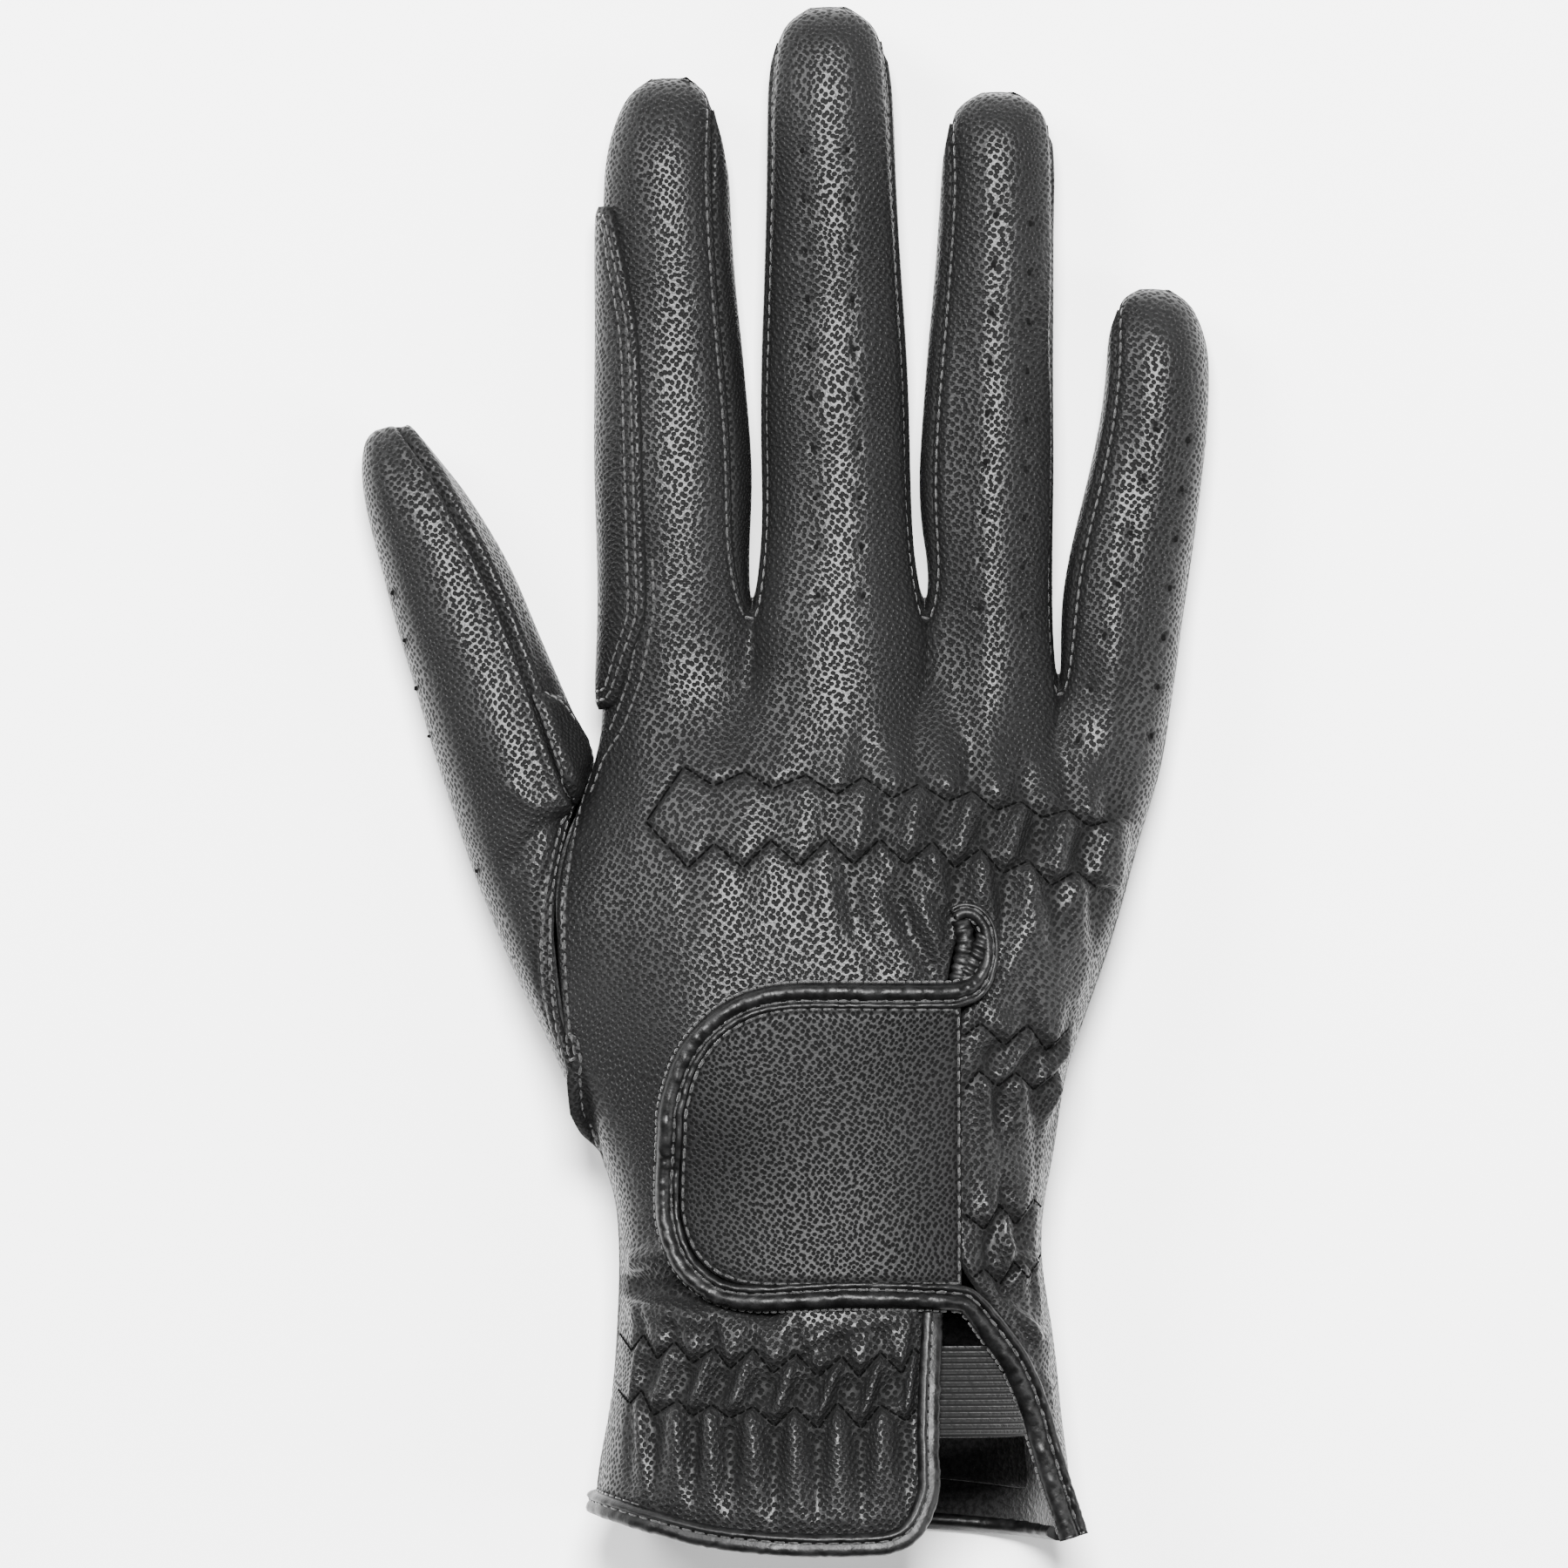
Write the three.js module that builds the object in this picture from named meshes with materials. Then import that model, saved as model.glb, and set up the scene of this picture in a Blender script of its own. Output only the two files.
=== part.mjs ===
import * as THREE from 'three';

// A horse riding glove for the right hand, lying palm down with the back of the hand up.
// Millimetres. +X runs from the thumb side to the little finger, +Y from the cuff to the
// fingertips and +Z out of the back of the hand. Leather pieces are walls whose outer face
// is one shared skin, so neighbours meet at a seam with a small gap between them.

// Driving sizes
const HAND_LENGTH = 148; // from the hem line to the crotch of the middle finger
const HAND_WIDTH = 90; // across the knuckles
const HAND_HEIGHT = 38; // from the palm to the back, over the filled hollow
const FINGER_HEIGHT = 19.5; // half way along a finger
const FINGER_LENGTHS = { index: 90.1, middle: 98, ring: 90.5, pinky: 68 };
const FINGER_WIDTHS = { index: 23, middle: 22.6, ring: 20.8, pinky: 18.8 };
const THUMB_LENGTH = 62.8; // from the web to the tip
const THUMB_WIDTH = 22;
const THUMB_HEIGHT = 24;
const THUMB_LEAN = 31.7; // degrees, away from the fingers
const LEATHER = 1.2;
const PATCH_LEATHER = 1.0;
const TAB_THICKNESS = 2.0;
const TAB_LENGTH = 46.8;
const TAB_HEIGHT = 51.8;
const BINDING_WIDTH = 3.4;
const BINDING_THICKNESS = 2.8;
const ELASTIC_THICKNESS = 1.0;
const LINING_THICKNESS = 1.0;
const SEAM_GAP = 0.3;
const PATCH_LIFT = 0.4; // a patch's gap to the leather below it
const HEM_CORNER = 7.5; // radius where the slit's left lip turns into the hem
const PALM_DIP = 1.5; // how far a free palm would sag below the surface it rests on
const FINGER_SINK = 0.5; // the same for a finger
const EDGE_SNAP = 1e-6; // points nearer to an edge than this share lie on it
const SHARPEST_CORNER = 0.5; // least cosine that a panel's corner is drawn back by
const ELASTIC_LAP = 1.5; // how far the elastic reaches under each lip

// Fineness of the skin
const FINGER_COLUMNS = 10; // across the back of each finger
const PALM_COLUMNS = 3; // across the palm side of each finger
const WALL_COLUMNS = 2; // down each side wall between two fingers
const BINDING_SIDES = 8;
const TAB_COLUMNS = 9;
const TAB_ROWS = 8;
const ELASTIC_COLUMNS = 8;
const ELASTIC_ROWS = 4;
const LINING_ROWS = 6; // rows of the palm that the lining covers

// Shape of the cross-sections, as exponents of a rounded box
const BACK_FULLNESS = 2.4;
const PALM_FULLNESS = 3;
const FINGER_FULLNESS = 2.3;

// Where the thumb leaves the hand, along it from the hem
const ROOT_ALONG = 0.428;
const WEB_ALONG = 0.8547;

// The hand's plan: distances from its middle line to the left and the right edge, how far the
// hand bulges on under the thumb, and how far the thumb hole is cut into the palm.
const HAND_OUTLINE = [
  { along: 0.014, left: 0.423, right: 0.42, under: 0, cut: 0 },
  { along: 0.042, left: 0.425, right: 0.414, under: 0, cut: 0 },
  { along: 0.102, left: 0.419, right: 0.408, under: 0, cut: 0 },
  { along: 0.158, left: 0.399, right: 0.394, under: 0, cut: 0 },
  { along: 0.214, left: 0.39, right: 0.387, under: 0, cut: 0 },
  { along: 0.27, left: 0.385, right: 0.374, under: 0, cut: 0 },
  { along: 0.326, left: 0.382, right: 0.361, under: 0, cut: 0 },
  { along: 0.382, left: 0.388, right: 0.365, under: 0, cut: 0 },
  { along: ROOT_ALONG, left: 0.414, right: 0.383, under: 0, cut: 0 },
  { along: 0.466, left: 0.4446, right: 0.391, under: 0.03, cut: 0.02 },
  { along: 0.521, left: 0.469, right: 0.405, under: 0.05, cut: 0.04 },
  { along: 0.568, left: 0.481, right: 0.432, under: 0.055, cut: 0.045 },
  { along: 0.633, left: 0.49, right: 0.472, under: 0.055, cut: 0.05 },
  { along: 0.689, left: 0.4935, right: 0.501, under: 0.055, cut: 0.05 },
  { along: 0.75, left: 0.481, right: 0.527, under: 0.032, cut: 0.035 },
  { along: 0.801, left: 0.46, right: 0.55, under: 0.006, cut: 0.01 },
  { along: WEB_ALONG, left: 0.4186, right: 0.571, under: 0, cut: 0 },
  { along: 0.8845, left: 0.4125, right: 0.582, under: 0, cut: 0 },
  { along: 0.922, left: 0.411, right: 0.596, under: 0, cut: 0 },
  { along: 0.959, left: 0.409, right: 0.6065, under: 0, cut: 0 },
  { along: 1, left: 0.408, right: 0.616, under: 0, cut: 0 },
];

// Heights over the resting surface, as shares of the hand's height
const HAND_HEIGHTS = [
  { along: 0, top: 1.2, side: 0.57 },
  { along: 0.1, top: 1.16, side: 0.56 },
  { along: 0.2, top: 1.08, side: 0.52 },
  { along: 0.33, top: 1, side: 0.47 },
  { along: 0.43, top: 0.97, side: 0.44 },
  { along: 0.57, top: 0.96, side: 0.42 },
  { along: 0.69, top: 0.92, side: 0.39 },
  { along: 0.8, top: 0.84, side: 0.35 },
  { along: 0.9, top: 0.75, side: 0.32 },
  { along: 1, top: 0.66, side: 0.29 },
];

// The hem across the hand, for the back panel and for the palm
const HEM_LINE = [
  { across: 0, back: 0.065, palm: 0.065 },
  { across: 0.15, back: 0.044, palm: 0.06 },
  { across: 0.3, back: 0.028, palm: 0.055 },
  { across: 0.5, back: 0.0216, palm: 0.05 },
  { across: 0.7, back: 0.024, palm: 0.045 },
  { across: 0.85, back: 0.03, palm: 0.04 },
  { across: 1, back: 0.0325, palm: 0.0325 },
];

const HEM_ROOM = { from: 0.05, to: 0.1 }; // where the palm sinks from its binding to the surface

// The outer edge of the hand at the index finger, the three crotches and the outer edge at
// the little finger. Heights are shares of the hand's height.
const KNUCKLES = [
  { across: -0.409, along: 0.954, back: 0.3, palm: 0.3, reach: 0 },
  { across: -0.148, along: 1, back: 0.49, palm: 0.15, reach: 0.02 },
  { across: 0.156, along: 1, back: 0.45, palm: 0.15, reach: 0.02 },
  { across: 0.391, along: 0.919, back: 0.43, palm: 0.15, reach: 0.02 },
  { across: 0.585, along: 0.886, back: 0.29, palm: 0.29, reach: 0 },
];

// Each finger's lean from straight ahead in degrees, its tip's length as a share of its width,
// and how its middle line bows and sways as shares of its width
const FINGERS = [
  { name: 'index', lean: -0.83, tip: 0.66, bow: 0.005, sway: 0.026 },
  { name: 'middle', lean: -0.92, tip: 0.53, bow: 0, sway: 0 },
  { name: 'ring', lean: 0.7, tip: 0.46, bow: -0.048, sway: -0.024 },
  { name: 'pinky', lean: 5.5, tip: 0.53, bow: 0.048, sway: -0.058 },
];

// The angles of each finger's seams round its section, where 0 is the right side and 90 the
// top: the back's left and right seam and the palm's
const FINGER_SEAMS = {
  index: { left: 180, right: 48, palmLeft: 180, palmRight: 332 },
  middle: { left: 162, right: 18, palmLeft: 205, palmRight: 335 },
  ring: { left: 142, right: 16, palmLeft: 208, palmRight: 325 },
  pinky: { left: 142, right: 0, palmLeft: 212, palmRight: 360 },
};
const SEAMS_CLOSE = 0.88; // from here on the seams turn towards the finger's two sides
const PALM_SEAMS_CLOSE = 0.75; // and the palm's turn to meet the back's
const FINGER_GROWN = 0.22; // from here on a finger's section no longer follows the hand's end
const FINGER_GROWTH = 1.7; // how fast it lets go, as an exponent
const FINGER_SQUARE = 0.35; // from here on a finger's rows lie square to it

// A finger's width and height along it, as shares of its middle width and height
const FINGER_SHAPE = [
  { along: 0, width: 1, height: 1.2 },
  { along: 0.2, width: 1.05, height: 1.15 },
  { along: 0.35, width: 1.07, height: 1.08 },
  { along: 0.5, width: 1, height: 1 },
  { along: 0.65, width: 0.945, height: 0.96 },
  { along: 0.8, width: 0.9, height: 0.92 },
  { along: 1, width: 0.88, height: 0.86 },
];
const FINGER_ROWS = [0.05, 0.12, 0.21, 0.32, 0.44, 0.56, 0.67, 0.77, 0.86, 0.94, 0.975, 1];
const WALL_END = 0.94; // where the wall between two fingers runs out in a point
const TIP_CUT = 0.96; // the share of the round tip that is kept, so that it ends in a short seam

// The thumb's sections from the last free one near the hand to the tip. Each goes from its
// outer to its inner side, whose places are measured from the web along and across the thumb.
// Its middle line's height and half its height are shares of the thumb's height.
const THUMB_SECTIONS = [
  { outer: [-0.117, -1.279], inner: [0.037, 0.03], middle: 0.6, half: 0.5 },
  { outer: [0.07, -1.133], inner: [0.097, 0.053], middle: 0.58, half: 0.5 },
  { outer: [0.227, -1.025], inner: [0.194, 0.078], middle: 0.54, half: 0.49 },
  { outer: [0.424, -0.868], inner: [0.338, 0.149], middle: 0.49, half: 0.465 },
  { outer: [0.59, -0.738], inner: [0.487, 0.212], middle: 0.455, half: 0.44 },
  { outer: [0.752, -0.598], inner: [0.63, 0.229], middle: 0.43, half: 0.41 },
  { outer: [0.869, -0.482], inner: [0.753, 0.232], middle: 0.4, half: 0.375 },
  { outer: [0.946, -0.366], inner: [0.84, 0.187], middle: 0.38, half: 0.32 },
  { outer: [0.998, -0.224], inner: [0.925, 0.148], middle: 0.375, half: 0.21 },
  { outer: [1.009, -0.086], inner: [0.979, 0.08], middle: 0.375, half: 0 },
];
const THUMB_JOINS = [0.78, 0.52, 0.24]; // how much of the hand's hole each joining section takes

// The slit in the back, from the hem to its keyhole end
const SLIT_TOP = 0.688;
const SLIT = [
  { along: 0.028, left: 0.159, right: 0.405 },
  { along: 0.084, left: 0.156, right: 0.394 },
  { along: 0.14, left: 0.154, right: 0.374 },
  { along: 0.186, left: 0.156, right: 0.354 },
  { along: 0.233, left: 0.159, right: 0.318 },
  { along: 0.275, left: 0.162, right: 0.255 },
  { along: 0.31, left: 0.162, right: 0.222 },
  { along: 0.456, left: 0.165, right: 0.218 },
  { along: 0.575, left: 0.183, right: 0.22 },
  { along: 0.61, left: 0.197, right: 0.255 },
  { along: 0.64, left: 0.2, right: 0.277 },
  { along: 0.665, left: 0.206, right: 0.275 },
  { along: SLIT_TOP, left: 0.238, right: 0.238 },
];
const SLIT_FADE = 0.1; // how far above the keyhole the columns still lean towards it
const SLIT_SNAP = 0.02; // a row this near below the slit's end closes it
const LIP_BINDING_TOP = 0.255; // the lips are bound up to here, just below the tab

// Rows of leather gathered on hidden elastic. Each row's ribs stand up between left and right,
// strongest from below to above its middle, and fade out over the reach on each side.
const GATHERS = [
  {
    along: 0.787, left: -0.31, right: 0.56, half: 0.045, reachUp: 0.115, reachDown: 0.125,
    pitch: 0.0993, lean: 0.1, slope: -0.133, height: 0.75,
  },
  {
    along: 0.186, left: -0.42, right: 0.15, half: 0.03, reachUp: 0.06, reachDown: 0.13,
    pitch: 0.0764, lean: 0.4, slope: 0, height: 0.8,
  },
  {
    along: 0.54, left: 0.235, right: 0.43, half: 0.03, reachUp: 0.06, reachDown: 0.075,
    pitch: 0.0733, lean: 0.2, slope: 0, height: 0.7,
  },
  {
    along: 0.34, left: 0.235, right: 0.4, half: 0.03, reachUp: 0.06, reachDown: 0.05,
    pitch: 0.0733, lean: 0.2, slope: 0, height: 0.8,
  },
];

// Single folds of the back: the middle of each, its direction, its length and breadth as
// shares of the hand's width, and how far it stands up (or, negative, sinks in).
const FOLDS = [
  { across: -0.283, along: 0.289, turn: 0, length: 0.2, breadth: 0.035, height: -1.4 },
  { across: -0.3, along: 0.322, turn: 6, length: 0.16, breadth: 0.035, height: 0.9 },
  { across: -0.29, along: 0.25, turn: -5, length: 0.2, breadth: 0.035, height: 0.9 },
  { across: 0.3, along: 0.24, turn: -52, length: 0.17, breadth: 0.035, height: 1.1 },
  { across: 0.345, along: 0.275, turn: -48, length: 0.12, breadth: 0.03, height: -0.9 },
  { across: 0.11, along: 0.7, turn: -65, length: 0.14, breadth: 0.03, height: -0.8 },
  { across: 0.16, along: 0.725, turn: -70, length: 0.08, breadth: 0.025, height: 0.6 },
  { across: 0.31, along: 0.645, turn: 38, length: 0.14, breadth: 0.035, height: 0.8 },
  { across: 0.36, along: 0.47, turn: -70, length: 0.14, breadth: 0.035, height: -0.8 },
];

const RELIEF_END = 0.9; // gathers and folds fade out from here to the hand's edges

// Places along the left edge of the rows between the hem and the knuckles
const CUFF_ROWS = [0.04, 0.08, 0.12, 0.16, 0.2, 0.24, 0.28, 0.33, 0.365];
const HOLE_ROWS = 9; // spaces between the thumb's root and its web
const KNUCKLE_ROWS = 2; // spaces between the web and the knuckles

// How the columns and rows settle, as shares of the way from the hem to the knuckles
const SIDES_CLOSER = 0.5; // how much closer the columns lie at the cuff's sides
const SLIT_COLUMN = 0.7; // the column that the slit follows, as a share of them all
const COLUMNS_TURN = 0.45; // from here on the columns turn towards the fingers
const HEIGHTS_TURN = 0.8; // from here on the arch's height turns into the fingers'
const ENDS_TURN = 0.9; // from here on the points keep in step with the fingers' seams

// Colours from the photograph's black leather, its smooth binding and its elastic
const GRAIN_LEATHER = { color: 0x2b2b2c, roughness: 0.62, metalness: 0 };
const SMOOTH_LEATHER = { color: 0x1f1f20, roughness: 0.36, metalness: 0 };
const ELASTIC_CLOTH = { color: 0x1b1b1c, roughness: 0.85, metalness: 0 };
const LINING_CLOTH = { color: 0x232324, roughness: 0.95, metalness: 0 };

const clamp = (value, low, high) => Math.min(Math.max(value, low), high);
const mix = (a, b, share) => a + (b - a) * share;

function ease(from, to, value) {
  const share = clamp((value - from) / (to - from), 0, 1);
  return share * share * (3 - 2 * share);
}

// The value of a table's column at a place between its rows, on a smooth curve that stays
// between its neighbours.
function follow(rows, at, column, place) {
  const last = rows.length - 1;
  if (place <= rows[0][at]) return rows[0][column];
  if (place >= rows[last][at]) return rows[last][column];
  const k = rows.findIndex((row) => row[at] > place) - 1;
  const span = rows[k + 1][at] - rows[k][at];
  const share = (place - rows[k][at]) / span;
  const rise = (i) => (rows[i + 1][column] - rows[i][column]) / (rows[i + 1][at] - rows[i][at]);
  const slope = (i) => {
    if (i === 0) return rise(0);
    if (i === last) return rise(last - 1);
    const [before, after] = [rise(i - 1), rise(i)];
    return before * after > 0 ? (2 * before * after) / (before + after) : 0;
  };
  const square = share * share;
  const cube = square * share;
  return (2 * cube - 3 * square + 1) * rows[k][column] + (cube - 2 * square + share) * span * slope(k)
    + (3 * square - 2 * cube) * rows[k + 1][column] + (cube - square) * span * slope(k + 1);
}

// A rounded box's cosine and sine: the same signs, but fuller at the corners
const fuller = (value) => Math.sign(value) * Math.abs(value) ** (2 / FINGER_FULLNESS);
const roundedCos = (angle) => fuller(Math.cos(angle));
const roundedSin = (angle) => fuller(Math.sin(angle));

// Points shared by the panels that meet there, each with one normal
class Skin {
  constructor() {
    this.points = [];
    this.normals = [];
    this.fixed = new Map();
    this.known = new Map();
  }

  add(point) {
    const key = [point.x, point.y, point.z].map((part) => Math.round(part * 1e3)).join();
    if (!this.known.has(key)) {
      this.known.set(key, this.points.length);
      this.points.push(point.clone());
    }
    return this.known.get(key);
  }

  // A point on a short tip seam, where the skin faces along the finger
  addTip(point, axis) {
    const id = this.add(point);
    this.fixed.set(id, axis.clone());
    return id;
  }

  faceNormal(face) {
    const [a, b, c] = [this.points[face[0]], this.points[face[1]], this.points[face[2]]];
    const normal = new THREE.Vector3().crossVectors(b.clone().sub(a), c.clone().sub(a));
    if (face.length === 4) {
      const d = this.points[face[3]];
      normal.add(new THREE.Vector3().crossVectors(c.clone().sub(a), d.clone().sub(a)));
    }
    return normal;
  }

  settleNormals(panels) {
    this.normals = this.points.map(() => new THREE.Vector3());
    for (const face of panels.flat()) {
      const normal = this.faceNormal(face);
      for (const id of face) this.normals[id].add(normal);
    }
    this.normals.forEach((normal) => normal.normalize());
    this.fixed.forEach((axis, id) => this.normals[id].copy(axis));
  }
}

// The other side of a face, folded along the same diagonal
const turnOver = ([first, ...rest]) => [first, ...rest.reverse()];

// The faces between neighbouring rows of point numbers. Rows run forward, and the outer side
// is up when the points of a row run to the right; flip turns it over. A face whose points
// fall together becomes a triangle or goes.
function gridFaces(rows, flip = false) {
  const faces = [];
  for (let r = 0; r + 1 < rows.length; r += 1) {
    for (let c = 0; c + 1 < rows[r].length; c += 1) {
      const corners = [rows[r][c], rows[r][c + 1], rows[r + 1][c + 1], rows[r + 1][c]];
      const face = corners.filter((id, k) => id !== corners[(k + 1) % corners.length]);
      if (face.length > 2) faces.push(flip ? face.reverse() : face);
    }
  }
  return faces;
}

function bodyOf(points, faces) {
  const geometry = new THREE.BufferGeometry();
  const places = points.flatMap((point) => [point.x, point.y, point.z]);
  geometry.setAttribute('position', new THREE.Float32BufferAttribute(places, 3));
  geometry.setIndex(faces.flatMap((face) => face.slice(2).flatMap((id, k) => [face[0], face[k + 1], id])));
  geometry.computeVertexNormals();
  return geometry;
}

// A wall on a panel of the skin, between two distances along the skin's normals. Its free
// edges draw back by half a seam gap.
function wall(skin, panel, inner, outer, drawBack = SEAM_GAP / 2) {
  const edges = new Map();
  for (const face of panel) {
    face.forEach((from, k) => {
      const to = face[(k + 1) % face.length];
      edges.set(`${from},${to}`, { from, to, face });
    });
  }
  const rim = [...edges.values()].filter(({ from, to }) => !edges.has(`${to},${from}`));
  const inward = new Map();
  for (const { from, to, face } of rim) {
    const along = skin.points[to].clone().sub(skin.points[from]);
    const side = new THREE.Vector3().crossVectors(skin.faceNormal(face), along).normalize();
    for (const id of [from, to]) inward.set(id, [...(inward.get(id) ?? []), side]);
  }
  const ids = [...new Set(panel.flat())];
  const place = new Map(ids.map((id, k) => [id, k]));
  const bases = ids.map((id) => {
    const base = skin.points[id].clone();
    const sides = inward.get(id) ?? [];
    if (sides.length === 0) return base;
    const middle = sides.reduce((sum, side) => sum.add(side), new THREE.Vector3()).normalize();
    const corner = Math.max(middle.dot(sides[0]), SHARPEST_CORNER);
    return base.addScaledVector(middle, drawBack / corner);
  });
  const lifted = (distance) => ids.map((id, k) => bases[k].clone().addScaledVector(skin.normals[id], distance));
  const count = ids.length;
  const top = panel.map((face) => face.map((id) => place.get(id)));
  const under = top.map((face) => turnOver(face).map((id) => id + count));
  // Each rim face folds along the diagonal that its neighbour's rim also folds along
  const sides = rim.map(({ from, to }) => {
    const [a, b] = [place.get(from), place.get(to)];
    return from < to ? [a, a + count, b + count, b] : [b, a, a + count, b + count];
  });
  return bodyOf([...lifted(outer), ...lifted(inner)], [...top, ...under, ...sides]);
}

// A rounded bar along a path of points with normals. It lies to the left of the path as seen
// from outside, and its width follows the stations' own shares.
function bar(stations, width, thickness, offset, depth) {
  const points = [];
  stations.forEach(({ point, normal, share = 1 }, k) => {
    const ahead = stations[Math.min(k + 1, stations.length - 1)].point;
    const behind = stations[Math.max(k - 1, 0)].point;
    const tangent = ahead.clone().sub(behind).normalize();
    const out = new THREE.Vector3().crossVectors(normal, tangent).normalize();
    const up = new THREE.Vector3().crossVectors(tangent, out).normalize();
    const middle = point.clone().addScaledVector(out, offset).addScaledVector(up, depth);
    for (let s = 0; s < BINDING_SIDES; s += 1) {
      const angle = (2 * Math.PI * s) / BINDING_SIDES;
      points.push(middle.clone()
        .addScaledVector(out, (Math.cos(angle) * width * share) / 2)
        .addScaledVector(up, (Math.sin(angle) * thickness * share) / 2));
    }
  });
  const faces = [];
  for (let k = 0; k + 1 < stations.length; k += 1) {
    for (let s = 0; s < BINDING_SIDES; s += 1) {
      const next = (s + 1) % BINDING_SIDES;
      const here = k * BINDING_SIDES;
      const there = here + BINDING_SIDES;
      faces.push([here + s, here + next, there + next, there + s]);
    }
  }
  const ring = [...Array(BINDING_SIDES).keys()];
  const end = (stations.length - 1) * BINDING_SIDES;
  faces.push([...ring].reverse(), ring.map((id) => id + end));
  return bodyOf(points, faces);
}

// The hand's edges, in plan
const leftEdge = (y) => -HAND_WIDTH * follow(HAND_OUTLINE, 'along', 'left', y / HAND_LENGTH);
const rightEdge = (y) => HAND_WIDTH * follow(HAND_OUTLINE, 'along', 'right', y / HAND_LENGTH);
const underThumb = (y) => HAND_WIDTH * follow(HAND_OUTLINE, 'along', 'under', y / HAND_LENGTH);
const holeCut = (y) => HAND_WIDTH * follow(HAND_OUTLINE, 'along', 'cut', y / HAND_LENGTH);
const sideHeight = (y) => HAND_HEIGHT * follow(HAND_HEIGHTS, 'along', 'side', y / HAND_LENGTH);
const topHeight = (y) => HAND_HEIGHT * follow(HAND_HEIGHTS, 'along', 'top', y / HAND_LENGTH);

// 0 on the hand's middle line and 1 on its edges, the bulge under the thumb counted in
function spread(x, y) {
  const low = leftEdge(y) - underThumb(y);
  const high = rightEdge(y);
  const share = Math.abs((2 * x - low - high) / (high - low));
  return share > 1 - EDGE_SNAP ? 1 : share;
}

function backHeight(x, y) {
  const arch = (1 - spread(x, y) ** BACK_FULLNESS) ** (1 / BACK_FULLNESS);
  return mix(sideHeight(y), topHeight(y), arch);
}

// The palm is flat where it rests. At the hem it is held up by the binding below it.
function palmHeight(x, y) {
  const belly = (1 - spread(x, y) ** PALM_FULLNESS) ** (1 / PALM_FULLNESS);
  const clearOfHem = ease(HEM_ROOM.from, HEM_ROOM.to, y / HAND_LENGTH);
  const bindingRoom = ((BINDING_THICKNESS - LEATHER) / 2) * (1 - clearOfHem);
  return Math.max(mix(sideHeight(y), -PALM_DIP, belly), bindingRoom);
}

// Relief of the back: gathers and folds, none below the tab
const TAB_RIGHT = 0.214 * HAND_WIDTH;
const TAB_BOTTOM = 0.2654 * HAND_LENGTH;
const TAB_CLEAR = 0.03 * HAND_WIDTH;
const tabLeft = TAB_RIGHT - TAB_LENGTH;
const tabTop = TAB_BOTTOM + TAB_HEIGHT;

function tabCover(x, y) {
  const within = (low, high, value) => (
    ease(low - TAB_CLEAR, low, value) * (1 - ease(high, high + TAB_CLEAR, value)));
  return within(tabLeft, TAB_RIGHT, x) * within(TAB_BOTTOM, tabTop, y);
}

function gatherHeight(row, across, along) {
  const off = along - row.along - row.slope * (across - row.left);
  const fade = off > 0 ? 1 - ease(row.half, row.reachUp, off) : 1 - ease(row.half, row.reachDown, -off);
  const leftEnd = ease(row.left, row.left + row.pitch / 2, across);
  const rightEnd = 1 - ease(row.right - row.pitch / 2, row.right, across);
  const turn = (across - row.left - row.lean * off * (HAND_LENGTH / HAND_WIDTH)) / row.pitch;
  return row.height * fade * leftEnd * rightEnd * Math.cos(2 * Math.PI * turn);
}

function foldHeight(fold, across, along) {
  const turn = THREE.MathUtils.degToRad(fold.turn);
  const dx = across - fold.across;
  const dy = (along - fold.along) * (HAND_LENGTH / HAND_WIDTH);
  const lengthwise = (dx * Math.cos(turn) + dy * Math.sin(turn)) / fold.length;
  const crosswise = (dy * Math.cos(turn) - dx * Math.sin(turn)) / fold.breadth;
  return fold.height * Math.exp(-2 * lengthwise ** 2 - crosswise ** 2);
}

function relief(x, y) {
  const across = x / HAND_WIDTH;
  const along = y / HAND_LENGTH;
  const gathers = GATHERS.reduce((sum, row) => sum + gatherHeight(row, across, along), 0);
  const folds = FOLDS.reduce((sum, fold) => sum + foldHeight(fold, across, along), 0);
  const sides = 1 - ease(RELIEF_END, 1, spread(x, y));
  return (gathers + folds) * (1 - tabCover(x, y)) * sides;
}

// The fingers' own frames and sections
function knuckleAt(k) {
  return new THREE.Vector2(KNUCKLES[k].across * HAND_WIDTH, KNUCKLES[k].along * HAND_LENGTH);
}

const knuckleLine = (x) => HAND_LENGTH * follow(KNUCKLES, 'across', 'along', x / HAND_WIDTH);

const fingers = FINGERS.map((finger, k) => {
  const [start, end] = [knuckleAt(k), knuckleAt(k + 1)];
  const lean = THREE.MathUtils.degToRad(finger.lean);
  return {
    ...finger,
    ...FINGER_SEAMS[finger.name],
    start,
    end,
    base: start.clone().add(end).multiplyScalar(0.5),
    chord: end.clone().sub(start).normalize(),
    axis: new THREE.Vector2(Math.sin(lean), Math.cos(lean)),
    across: new THREE.Vector2(Math.cos(lean), -Math.sin(lean)),
    length: FINGER_LENGTHS[finger.name],
    width: FINGER_WIDTHS[finger.name],
    low: KNUCKLES[k],
    high: KNUCKLES[k + 1],
  };
});

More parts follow.
